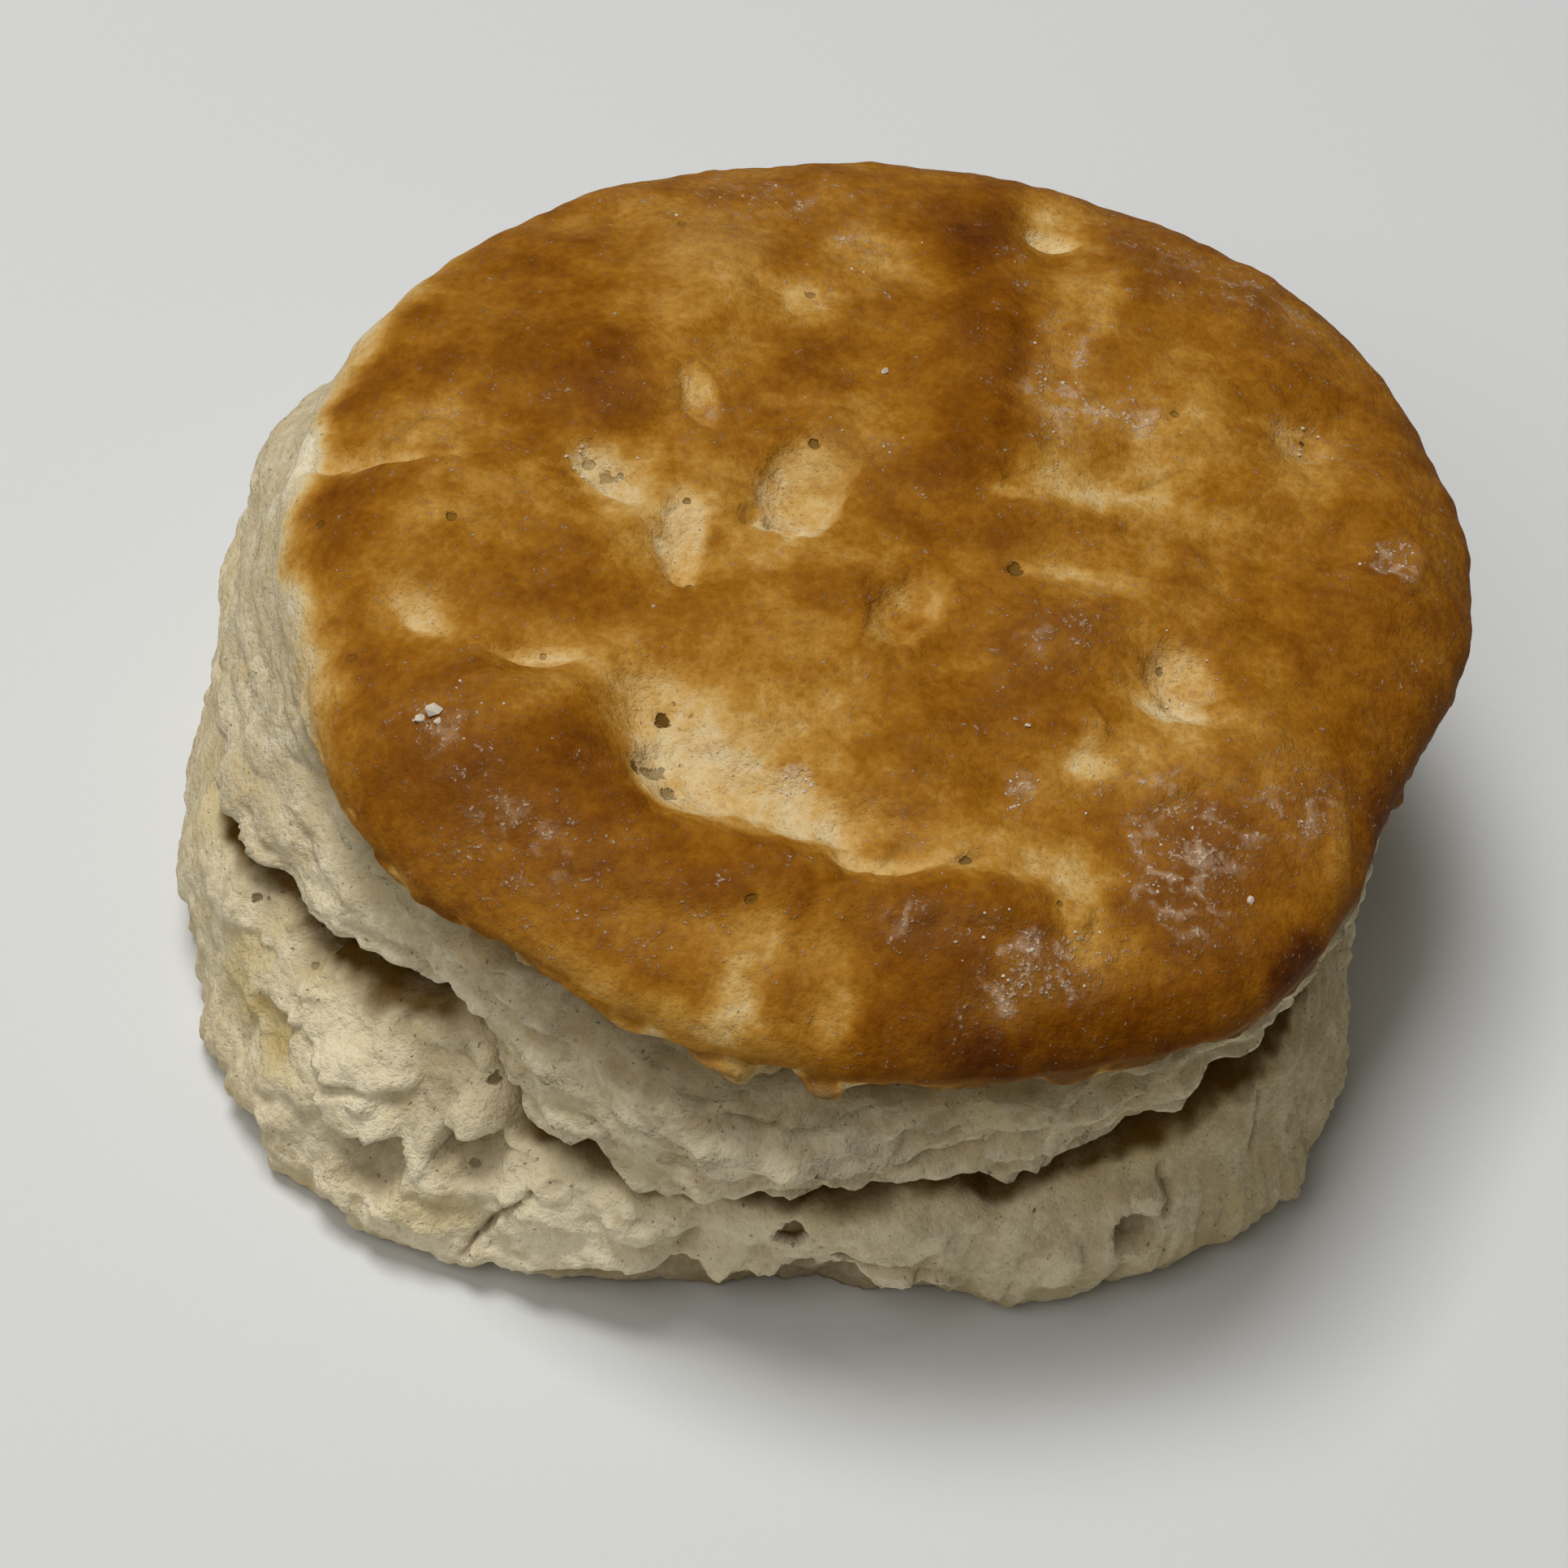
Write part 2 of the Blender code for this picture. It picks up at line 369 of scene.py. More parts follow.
@dataclass(frozen=True)
class Crack:
    """A fine groove between two places.

    Attributes:
        start: Where it starts, as a mark's x and y.
        end: Where it ends.
        width: Half its width.
        depth: How deep it is.
        wander: How far it strays from a straight line.
    """

    start: tuple[float, float]
    end: tuple[float, float]
    width: float = 0.28
    depth: float = 0.5
    wander: float = 0.5

    def cover(self, across: np.ndarray, along: np.ndarray, stray: np.ndarray) -> np.ndarray:
        """How far each point lies in the groove.

        Args:
            across: First distance from the start.
            along: Second distance from the start.
            stray: Noise that bends the groove.

        Returns:
            From 0 outside the groove to 1 in its middle.
        """
        run = (self.end[0] - self.start[0], self.end[1] - self.start[1])
        length = math.hypot(*run)
        way = (across * run[0] + along * run[1]) / length
        aside = (along * run[0] - across * run[1]) / length + self.wander * stray
        ends = ease(way / 0.8 + 0.5) * ease((length - way) / 0.8 + 0.5)
        return ends * np.exp(-((aside / self.width) ** 2))


@dataclass
class Tones:
    """The finish values of a set of points."""

    brown: np.ndarray
    flour: np.ndarray
    deep: np.ndarray
    warm: np.ndarray

    @classmethod
    def plain(cls, count: int, brown: float) -> "Tones":
        """Even tones for a number of points."""
        return cls(np.full(count, brown), np.zeros(count), np.zeros(count), np.zeros(count))

    def add(self, mark: Mark, cover: np.ndarray) -> None:
        """Lay a mark's tones on, as far as it covers each point."""
        self.brown += mark.brown * cover
        self.flour += mark.flour * cover
        self.deep += mark.deep * cover
        self.warm += mark.warm * cover

    def take(self, chosen: np.ndarray, other: "Tones") -> None:
        """Put another set's values in at the chosen points."""
        for tone in Tone:
            getattr(self, tone.value)[chosen] = getattr(other, tone.value)


BROAD_LUMPS: dict[str, tuple[float, float, float, float]] = {
    "brown hump behind the middle": (4, 8, 6.5, 0.6),
    "brown hump at the front left": (-21, -22, 6.5, 0.8),
    "brown hump at the left": (-31, -5, 5.0, 0.5),
    "brown hump at the back left": (-15, 13, 6.5, 0.7),
    "brown hump at the front": (8, -30, 6.0, 0.6),
    "brown hump right of the middle": (9, -9, 5.0, 0.4),
    "pale valley at the left of the middle": (-13, -18, 3.5, -1.0),
    "pale valley before the middle": (-9, -22, 3.2, -0.8),
    "pale valley at the front": (-3.5, -23.5, 3.5, -0.8),
    "front blister": (1, -25, 3.2, -0.6),
    "round blister left of the middle": (-6.8, 1.5, 3.3, -0.8),
    "square blister before the middle": (0.6, -7, 2.6, -0.4),
    "pitted hollow": (-19.5, 0, 2.4, -0.6),
    "oblong hollow": (-13.5, -5.5, 2.6, -0.6),
    "three-cornered hollow": (-27, -12, 2.6, -0.5),
    "long hollow at the left": (-21, -15.5, 2.4, -0.6),
    "furrow at the left edge": (-36, 0, 3.2, -0.9),
    "hollow at the right": (17.5, -9, 3.2, -0.7),
    "hollow at the far right": (25, 13, 3.2, -0.6),
    "hollow at the far edge": (6.5, 28.5, 2.6, -0.6),
    "pale slope at the right": (19, 4, 8.0, -0.4),
}

CROWN_MARKS: dict[str, Mark] = {
    "deep gold at the back left": Mark(-27, 17, 9, 8, brown=0.07),
    "dark band at the left": Mark(-20, 8, 6.5, 3.6, -20, brown=0.13),
    "dark ridge behind the middle": Mark(2.6, 17, 3.1, 13, soft=0.75, lift=0.35, brown=0.10),
    "ridge's steep right edge": Mark(5.4, 12, 0.9, 8, soft=0.6, brown=0.05, lift=-0.15),
    "dark ground left of the middle": Mark(-20, -8, 7, 3.4, brown=0.11),
    "dark hump at the front left": Mark(-23, -22, 8.5, 6.5, -20, 0.5, lift=0.2, brown=0.13),
    "dark bank behind the front": Mark(-8, -28.4, 10, 2.9, -10, 0.45, lift=0.45, brown=0.12),
    "brown ground before the middle": Mark(8, -11, 5, 6, brown=0.09),
    "dark hump at the front": Mark(7, -32, 9.5, 5, 5, 0.6, lift=0.1, brown=0.11),
    "bank above the front hump": Mark(5, -28.6, 7.5, 1.8, 4, 0.4, lift=0.4, brown=0.02),
    "dark right rim": Mark(34, -4, 3.6, 11, brown=0.04),
    "gold at the right": Mark(26, -2, 6.5, 6.5, brown=0.08),
    "brown ground at the right front": Mark(20.5, -22.5, 7, 6, brown=0.14),
    "dark spot at the left edge": Mark(-34.6, -5.4, 3.2, 5, brown=0.14),
    "dark ground round the middle": Mark(-15, -10, 4.5, 2.6, 5, brown=0.07),
    "gold left of the square blister": Mark(-6.5, -10, 4, 2.6, 0, brown=-0.13),
    "brown ground right of the middle": Mark(3.5, -0.5, 3.6, 6, 0, brown=0.12),
    "gold before the right rim": Mark(20.5, -14, 4, 2.8, 0, brown=-0.13),
    "dark ground along the right rim": Mark(31, -14, 3.6, 7, 15, brown=0.12),
    "gold under the long hollow": Mark(-20.5, -18.6, 4, 2.2, 0, brown=-0.11),
    "gold at the left": Mark(-28, -6.5, 4, 2.6, 0, brown=-0.09),
    "dark rim at the front left": Mark(-20, -28.5, 6, 2.6, -38, brown=0.04),
    "brown ground at the right back": Mark(26, 16.5, 5, 4, 0, brown=0.09),
    "brown ground by the far dent": Mark(13, 26.5, 7, 2.8, -15, brown=0.08),
    "gold above the slope": Mark(16, 15, 3, 3, 0, brown=-0.09),
    "gold between the front humps": Mark(0, -30.6, 2.3, 3.0, 0, brown=-0.15),
    "gold at the far left edge": Mark(-23, 25, 4, 3, 30, brown=-0.07),
    "gold behind the round blister": Mark(-3, 6.6, 3, 2.8, 0, brown=-0.08),
    "burnt ground at the front left": Mark(-14.6, -23.8, 4.5, 2.6, -28, 0.6, brown=0.16),
    "brown right of the round blister": Mark(-1, 2, 3.5, 5, brown=0.07),
    "dark rim at the back right": Mark(31.5, 16, 4, 7, 25, brown=0.04),
    "brown ground at the back right": Mark(22, 22, 6, 5, brown=0.02),
    "dark ground at the far edge": Mark(2.5, 29, 3.5, 6, brown=0.04),
    "red-brown front rim": Mark(17, -34.0, 9, 2.2, 28, 0.6, brown=0.11),
    "burnt spot on the right front rim": Mark(27.5, -25.6, 2.2, 1.3, 45, 0.6, brown=0.2),
    "burnt spot on the front rim": Mark(9.5, -36.2, 2.6, 1.0, 8, 0.6, brown=0.2),
    "gold behind the left blisters": Mark(-8, 11, 5, 4, brown=0.04),
    "round blister": Mark(-6.8, 1.3, 2.7, 4.3, -14, 0.16, -0.45, 0.22, -0.27, deep=0.03),
    "blister's worn skin": Mark(-6.2, 2.6, 1.6, 2.4, -14, 0.7, 0.1, 0, 0.04, warm=0.2),
    "torn edge of the round blister": Mark(-7.9, -2.0, 1.9, 0.75, 8, 0.3, -0.35, 0.12, -0.26),
    "left hole of the round blister": Mark(-9.8, -1.6, 0.5, 0.8, 0, 0.4, -0.4, 0, 0.1, deep=0.35),
    "gold beside the round blister": Mark(-5.2, -4.4, 2.8, 1.6, 10, brown=-0.12),
    "square blister": Mark(0.5, -7.5, 2.2, 3.5, -32, 0.16, -0.2, 0.22, -0.20),
    "square blister's floor": Mark(0.6, -7.8, 1.2, 2.1, -32, 0.35, -0.12, 0, 0.10, flour=0.1),
    "oblong scab": Mark(-14.2, 7.0, 1.25, 2.7, 24, 0.22, -0.2, 0.12, -0.23, flour=0.15),
    "dark corner by the scab": Mark(-11.6, 6.2, 2.6, 2.6, 20, brown=0.13),
    "small grey scab": Mark(-9.6, 7.8, 1.0, 0.6, 0, 0.3, brown=-0.10, flour=0.15),
    "pitted cluster": Mark(-19.4, 1.2, 1.9, 1.3, -25, 0.3, -0.3, 0.1, -0.25, 0.35, 0.08),
    "bright tail of the cluster": Mark(-17.9, -0.9, 0.75, 2.0, 42, 0.4, -0.2, 0, -0.30),
    "gold under the tail": Mark(-17.0, -4.2, 2.1, 3.8, 10, brown=-0.17),
    "oblong blister": Mark(-13.5, -4.0, 1.5, 3.9, 8, 0.28, -0.35, 0.12, -0.28, 0.18),
    "three-cornered scab": Mark(-28.0, -12.0, 1.2, 2.7, 48, 0.35, -0.2, 0.08, -0.19, 0.1),
    "gold beside it": Mark(-26.6, -12.4, 2.6, 2.4, 30, brown=-0.06),
    "long bright hollow": Mark(-20.6, -15.0, 2.5, 0.8, 4, 0.5, -0.3, 0.06, -0.26),
    "pale valley's left arm": Mark(-12.4, -18.4, 2.8, 4.2, 10, 0.6, -0.35, 0, -0.22),
    "pale valley's heart": Mark(-10.4, -21.6, 3.6, 2.7, -12, 0.35, -0.35, 0, -0.34),
    "pale valley's right arm": Mark(-4.2, -22.9, 4.6, 2.0, -14, 0.45, -0.35, 0, -0.30),
    "gold above the valley": Mark(-6, -16.5, 6, 2.6, -5, brown=-0.08),
    "gold before the middle": Mark(1, -13.2, 6, 2.0, -10, brown=0.05),
    "gold tongue": Mark(3.5, -19.5, 6, 1.8, -5, brown=0.06),
    "front blister's skin": Mark(1.0, -23.6, 3.4, 2.8, 0, 0.3, 0.1, 0.12, 0.03, 0.12),
    "front blister's torn edge": Mark(1.2, -26.2, 2.8, 0.8, 0, 0.35, -0.35, 0.1, -0.16),
    "gold ledge at the front": Mark(9.6, -24.8, 5.0, 1.8, 2, 0.6, -0.1, 0, -0.17),
    "bright step at the front": Mark(13.2, -27.8, 1.4, 3.0, 18, 0.5, -0.15, 0, -0.22),
    "gold beyond the step": Mark(15.5, -29.5, 3, 2, -30, brown=-0.10),
    "right hollow": Mark(17.7, -8.6, 2.2, 2.8, 0, 0.3, -0.35, 0.12, -0.26, 0.4),
    "right hollow's bright edge": Mark(17.2, -11.4, 2.1, 0.9, 0, 0.4, -0.2, 0, -0.26),
    "small scab left of it": Mark(12.3, -14.4, 0.9, 1.3, 20, 0.4, 0.1, 0.05, -0.13, 0.15),
    "small bright hollow": Mark(12.7, -17.0, 1.7, 0.9, 8, 0.5, -0.2, 0, -0.22),
    "gold round it": Mark(14.5, -17, 4.2, 2.4, 10, brown=-0.10),
    "far right hollow": Mark(24.2, 13.6, 2.4, 1.7, 10, 0.4, -0.2, 0.06, -0.22, 0.35),
    "gold below it": Mark(24.6, 10.6, 2.6, 2.6, brown=-0.15),
    "bright dent at the far edge": Mark(6.7, 28.4, 1.7, 1.1, 0, 0.3, -0.3, 0.1, -0.34),
    "gold behind the far dent": Mark(6.6, 31.0, 1.9, 2.2, brown=-0.20),
    "floury ground at the back": Mark(9.2, 22.6, 2.4, 3.8, 0, 0.5, brown=-0.15, flour=0.15),
    "floury ground behind the slope": Mark(8.0, 13, 2.4, 6, 0, 0.6, brown=-0.10, flour=0.5),
    "grey flour on the slope": Mark(12.5, 11.8, 2.4, 1.6, 20, 0.5, brown=-0.06, flour=0.55),
    "bright slope": Mark(16, 10.2, 2.2, 5.2, -18, 0.6, brown=-0.15),
    "ledge below the slope": Mark(9.0, 4.6, 4.0, 1.6, 15, 0.6, -0.1, 0, -0.17),
    "gold ledge at the right": Mark(16, 4.6, 6, 1.5, 4, 0.6, brown=-0.13),
    "gold streak at the right": Mark(14.6, 0.6, 3, 2, 0, brown=-0.09),
    "bright dash": Mark(5.6, 2.8, 1.2, 0.55, 0, 0.3, 0.05, 0.05, -0.20),
    "pale spot by the pinhole": Mark(8.9, -2.3, 2.2, 0.9, 15, 0.5, -0.1, 0, -0.20, 0.2),
    "gold beyond the spot": Mark(12.6, -2.4, 2.6, 1.0, 0, 0.6, brown=-0.10),
    "scar at the right": Mark(30.6, 4.4, 1.7, 1.9, 0, 0.35, 0.05, 0.16, -0.05, 0.6),
    "scar's dark floor": Mark(29.6, 3.4, 1.0, 0.8, 30, 0.5, -0.2, 0, 0.12),
    "gold patch at the right": Mark(22.9, -1.9, 1.8, 0.8, 0, 0.6, brown=-0.08),
    "bright streak at the front edge": Mark(-4.9, -33.4, 1.5, 4.0, -8, 0.5, -0.15, 0, -0.22),
    "bright spot at the front edge": Mark(0.6, -35.8, 1.1, 1.5, 0, 0.45, -0.1, 0, -0.24),
    "floury patch at the back": Mark(-5, 22.6, 3.2, 3.2, 0, 0.4, -0.1, 0.05, -0.12, 0.3),
    "yellow ground at the back left": Mark(-15.2, 21.2, 3.8, 3.4, 20, 0.6, brown=-0.12, warm=0.1),
    "gold ground at the back left": Mark(-13.5, 14.6, 5.6, 4.4, 0, 0.45, -0.1, 0, -0.10),
    "dimple at the back": Mark(-8.6, 17.9, 2.3, 2.1, 0, 0.5, -0.25, 0.06, -0.12, 0.15),
    "furrow at the left": Mark(-35.4, 0.5, 3.4, 1.0, -8, 0.6, -0.5, 0.03, -0.26),
    "furrow's end": Mark(-31.5, -0.4, 2.6, 0.45, 6, 0.6, -0.3, 0.03, -0.12),
    "dented ground at the left": Mark(-30.5, 2.8, 3.4, 2.4, 15, 0.6, -0.1, 0, -0.07, 0.2),
    "pale ground left of the middle": Mark(-25.5, -3.8, 5, 2.2, 0, brown=-0.09),
    "bright right rim": Mark(28.6, -18.2, 0.9, 4.2, 4, 0.4, 0.12, 0, -0.15),
    "floury right front": Mark(18.5, -22.5, 3.8, 5.2, 10, 0.7, brown=0, flour=0.55),
    "brown between the blisters": Mark(-4.4, -6.4, 2.6, 2.6, brown=0.14),
    "brown beside the oblong blister": Mark(-11.0, -9.2, 2.6, 3.0, brown=0.12),
    "brown ground behind the middle": Mark(-9.5, 12.5, 5, 3, brown=0.10),
    "brown ground before the far edge": Mark(-0.5, 26, 3.2, 3.4, brown=0.12),
    "brown far edge": Mark(14, 31.5, 6, 2.6, brown=0.10),
    "brown ground left of the cluster": Mark(-22, 4.2, 4, 3, brown=0.10),
    "brown left edge": Mark(-34.5, 8, 3, 4, brown=0.10),
    "brown spot at the right front": Mark(20.5, -22, 2.6, 2.6, brown=0.08),
    "golden ground at the front left": Mark(-23, -20, 6, 4, -35, brown=-0.06),
    "flour by the right front edge": Mark(24.5, -17, 4.5, 3.4, -20, 0.8, flour=0.4),
    "floury front": Mark(12.8, -31.2, 3.2, 1.6, 10, 0.6, flour=0.7),
    "flour on the front hump": Mark(5.5, -30.8, 3.2, 1.3, 0, 0.7, flour=0.45),
    "flour at the front": Mark(9.6, -33.4, 2.2, 1.5, 0, 0.7, flour=0.6),
    "flour spot in the valley": Mark(-4.5, -21.0, 1.4, 0.85, 5, 0.4, flour=0.95),
    "flour by the ledge": Mark(8.8, -19.6, 0.9, 1.5, 0, 0.6, flour=0.7),
    "flour above the round blister": Mark(-2.9, 5.0, 1.4, 1.0, 0, 0.8, flour=0.5),
    "flour on the back left": Mark(-14, 27, 7, 3.4, 10, 0.8, flour=0.30),
    "flour on the back right": Mark(18, 27, 10, 4, -25, 0.8, flour=0.30),
    "flour at the left": Mark(-18, 6.4, 4.5, 1.6, 0, 0.8, flour=0.25),
    "flour at the front left": Mark(-20, -28, 6, 3, -30, 0.9, flour=0.28),
    "flour at the left edge": Mark(-25.5, -21, 3.2, 2.2, 0, 0.9, flour=0.3),
    "flour right of the middle": Mark(9.5, -8, 3.2, 4.6, 0, 0.9, flour=0.25),
    "flour on the front left rim": Mark(-9, -32.5, 6, 2.4, -12, 0.9, flour=0.2),
}

CROWN_CRACKS: dict[str, Crack] = {
    "crack at the right front": Crack((16.6, -19.4), (20.8, -16.2), 0.22, 0.4, 0.5),
    "line by the front blister": Crack((5.6, -25.8), (7.0, -24.6), 0.25, 0.4, 0.2),
    "slit in the front blister": Crack((1.6, -25.8), (2.8, -24.2), 0.28, 0.4, 0.2),
    "split beside the bright slope": Crack((14.0, 6.4), (16.4, 8.6), 0.16, 0.18, 0.5),
    "line on the left ground": Crack((-32.4, 1.0), (-30.0, 4.2), 0.22, 0.22, 0.3),
    "split below the scar": Crack((23.4, 12.3), (24.7, 12.7), 0.2, 0.35, 0.3),
}

# Pinholes of the crown: place across and along, radius, strength of the painted shade inside.
CROWN_PINHOLES: dict[str, tuple[float, float, float, float]] = {
    "valley": (-12.3, -17.1, 0.50, 1.0),
    "valley, large": (-12.5, -21.1, 0.72, 0.62),
    "valley, left": (-13.6, -21.7, 0.38, 0.9),
    "valley, low": (-11.3, -22.5, 0.48, 0.62),
    "right of the middle": (6.7, -2.8, 0.50, 0.85),
    "round blister": (-6.6, 5.1, 0.34, 0.8),
    "front right": (6.3, -25.4, 0.34, 0.8),
    "front": (-5.7, -30.7, 0.34, 0.7),
    "front bank": (11.9, -27.6, 0.24, 0.7),
    "left ground": (-27.5, -5.4, 0.34, 0.7),
    "left edge": (-31.2, -15.4, 0.30, 0.5),
    "back": (-8.4, 18.2, 0.30, 0.55),
    "far right": (24.4, 14.1, 0.22, 1.0),
    "slope": (15.5, 12.7, 0.26, 0.6),
    "oblong blister": (-12.5, -7.3, 0.28, 0.8),
    "oblong blister, top": (-13.6, -1.0, 0.26, 0.7),
    "cluster": (-18.6, 0.9, 0.45, 0.55),
    "cluster, left": (-19.9, 1.6, 0.38, 0.5),
    "cluster, right": (-17.8, 0.7, 0.34, 0.5),
    "right hollow": (16.6, -7.6, 0.24, 0.7),
    "right hollow, low": (16.0, -9.3, 0.2, 0.6),
    "dark ridge": (-35.0, -5.4, 0.3, 0.6),
    "back left": (-17.2, 23.3, 0.3, 0.5),
    "long hollow": (-20.2, -14.4, 0.2, 0.5),
}

# On the wall, deep on creases, hollows and the torn lip is painted shade, and less brown on the
# flake and the pale sheet at the front is a painted highlight.
WALL_MARKS: dict[str, Mark] = {
    "swelling of the left wall": Mark(-132, 17.6, 11, 1.5, 12, 0.5, 0.6),
    "swelling of the front wall": Mark(-92, 16.8, 14, 3.0, 0, 0.5, 0.5),
    "flake over the middle of the crevice": Mark(-91, 18.6, 3.2, 1.6, 6, 0.25, 0.9, brown=-0.08),
    "pale sheet at the front": Mark(-83.5, 19.2, 4.2, 1.3, 8, 0.2, 0.8, brown=-0.08),
    "crease above the flake": Mark(-92, 20.6, 3.4, 0.45, 4, 0.5, -0.5, deep=0.2),
    "ridge where the two shelves part": Mark(-112, 17.4, 3.4, 2.2, -25, 0.6, 0.6),
    "hollow left of the ridge": Mark(-119, 20.6, 2.6, 1.4, 0, 0.6, -0.5, deep=0.1),
    "fold in the left wall": Mark(-139, 22.0, 3.0, 0.9, -15, 0.5, -0.45, deep=0.08),
    "bulge of the left shoulder": Mark(172, 19.0, 7.0, 6.0, 0, 1.0, 0.3),
    "yellow flake under the crust": Mark(-97.5, 26.0, 2.3, 1.3, 5, 0.2, 0.9, 0, 0.20, warm=0.25),
    "small yellow flake": Mark(-88, 26.9, 1.0, 0.6, 0, 0.25, 1.0, 0, 0.16, warm=0.2),
    "yellow scrap": Mark(-93, 25.4, 1.1, 0.6, 0, 0.3, 0.45, 0, 0.10, warm=0.2),
    "scrap at the right front": Mark(-70, 26.2, 1.4, 0.5, 0, 0.3, 0.5, 0, 0.2, warm=0.2),
    "torn lip at the front left": Mark(-116, 27.0, 3.2, 0.7, -18, 0.3, -0.7, 0.15, deep=0.25),
    "crease under the crust": Mark(-62, 24.3, 7, 0.3, 6, 0.6, -0.5, deep=0.22),
    "second crease": Mark(-60, 22.7, 6, 0.28, 7, 0.6, -0.5, deep=0.22),
    "third crease": Mark(-54, 21.1, 6, 0.26, 9, 0.6, -0.45, deep=0.2),
    "crease in the front wall": Mark(-79, 23.4, 7, 0.3, 3, 0.6, -0.45, deep=0.2),
    "crease in the left wall": Mark(-108, 22.4, 7, 0.35, -10, 0.6, -0.5, deep=0.2),
    "first sheet at the right front": Mark(-60, 23.6, 5.0, 0.55, 7, 0.3, 0.45),
    "second sheet at the right front": Mark(-55, 22.0, 6.0, 0.5, 9, 0.3, 0.4),
    "third sheet at the right front": Mark(-49, 20.6, 5.0, 0.45, 10, 0.3, 0.35),
    "shards on the right wall": Mark(-26, 23.5, 1.6, 3.6, -20, 0.3, 0.5),
}

# On the skirt, less brown on lumps, sheets, plates and crags is a painted highlight, and deep in
# craters, holes, gaps, dents, valleys and cavities is painted shade.
SKIRT_MARKS: dict[str, Mark] = {
    "torn lump by the lower left crater": Mark(-125, 8.9, 2.1, 1.5, 10, 0.18, 1.3, brown=-0.07),
    "lower left crater": Mark(-121.6, 6.4, 2.2, 1.8, -10, 0.22, -1.7, deep=0.10),
    "sheet at the left": Mark(-129.5, 12.2, 4.3, 2.0, 0, 0.16, 0.9, brown=-0.07),
    "second sheet at the left": Mark(-127.5, 10.9, 2.6, 1.2, -10, 0.2, 0.5, brown=-0.05),
    "low ground under the shelf": Mark(-119.5, 13.2, 2.7, 2.2, 0, 0.5, -0.7, deep=0.05),
    "overhanging lump at the front": Mark(-115.8, 12.2, 2.0, 1.2, 15, 0.15, 1.4, brown=-0.07),
    "crater nearer the front": Mark(-114.4, 9.2, 2.1, 1.8, 0, 0.2, -1.3, deep=0.05),
    "crater's dark edge": Mark(-116.7, 9.1, 0.55, 1.7, 5, 0.3, -1.0, deep=0.25),
    "ridge below the craters": Mark(-118, 4.8, 3.6, 0.8, -8, 0.4, 0.35),
    "left dent": Mark(-136.9, 9.0, 1.9, 1.1, -20, 0.5, -0.8, warm=0.6, deep=0.06),
    "upper left dent": Mark(-145, 10.6, 2.3, 0.9, 25, 0.5, -0.7, warm=0.45, deep=0.05),
    "soft groove at the left": Mark(-141, 12.2, 2.0, 0.7, -25, 0.6, -0.35),
    "moist spot at the left": Mark(-142, 8.6, 2.2, 2.0, 0, 0.6, 0.2, warm=0.75),
    "moist spot below the crack": Mark(-114.5, 5.4, 2.6, 1.3, 0, 0.6, -0.1, warm=0.55),
    "moist spot by the left dent": Mark(-134.6, 8.0, 2.0, 1.2, 0, 0.7, 0.1, warm=0.5),
    "knob below the shelf": Mark(-151, 10.5, 6, 5, 0, 1.0, 0.5),
    "cavity under the shelf": Mark(-141.6, 14.7, 2.5, 1.3, -10, 0.18, -2.2, deep=0.45),
    "cavity's lower step": Mark(-139.0, 13.4, 1.2, 0.9, -20, 0.25, -0.8, deep=0.12),
    "plate right of the crack": Mark(-102, 7.6, 5.0, 3.9, 0, 0.16, 0.7, brown=-0.07),
    "bright lump at the front": Mark(-96.4, 9.8, 2.4, 1.3, -5, 0.2, 0.8, brown=-0.06),
    "scoop above the lump": Mark(-99.5, 11.0, 2.2, 0.6, -8, 0.4, -0.35),
    "valley by the lump": Mark(-92.3, 9.6, 0.7, 3.0, 0, 0.5, -0.7, deep=0.05),
    "square hole": Mark(-83.4, 9.9, 1.05, 1.1, 4, 0.10, -0.7, 0, 0, 0, 0.9),
    "gap above the square hole": Mark(-83.0, 12.4, 0.35, 0.9, -20, 0.3, -0.8, deep=0.25),
    "plate right of the hole": Mark(-77.2, 10.9, 3.6, 1.8, 2, 0.16, 0.7, brown=-0.05),
    "crag at the front right": Mark(-73.0, 9.2, 2.8, 1.4, 10, 0.16, 0.7, brown=-0.05),
    "hole above the bottom layer": Mark(-76.2, 7.3, 1.3, 0.5, 5, 0.2, -1.6, deep=0.5),
    "scraps at the front foot": Mark(-73.4, 6.4, 1.6, 0.7, 0, 0.16, 1.0),
    "second scrap": Mark(-69.2, 5.8, 1.2, 0.6, 10, 0.16, 0.9),
    "third scrap": Mark(-66.5, 4.4, 1.0, 0.6, 0, 0.25, 0.6),
    "pale flake at the right foot": Mark(-57.7, 6.1, 1.3, 1.2, 20, 0.12, 0.8, brown=-0.08),
    "right crater": Mark(-50.4, 7.4, 1.3, 1.5, 8, 0.14, -1.7, 0.1, 0, 0, 0.16),
    "hooked sheet over the crater": Mark(-50.4, 9.8, 2.0, 0.7, -8, 0.15, 1.0),
    "pit beside the hook": Mark(-47.8, 9.2, 0.7, 1.0, 0, 0.3, -0.6, deep=0.15),
    "hollow between the feet": Mark(-88, 3.0, 3.0, 2.0, 0, 1.0, -0.3),
    "rough spot on the left outline": Mark(-160, 11.5, 2.5, 3, 0, 0.7, 0.2, warm=0.35),
}

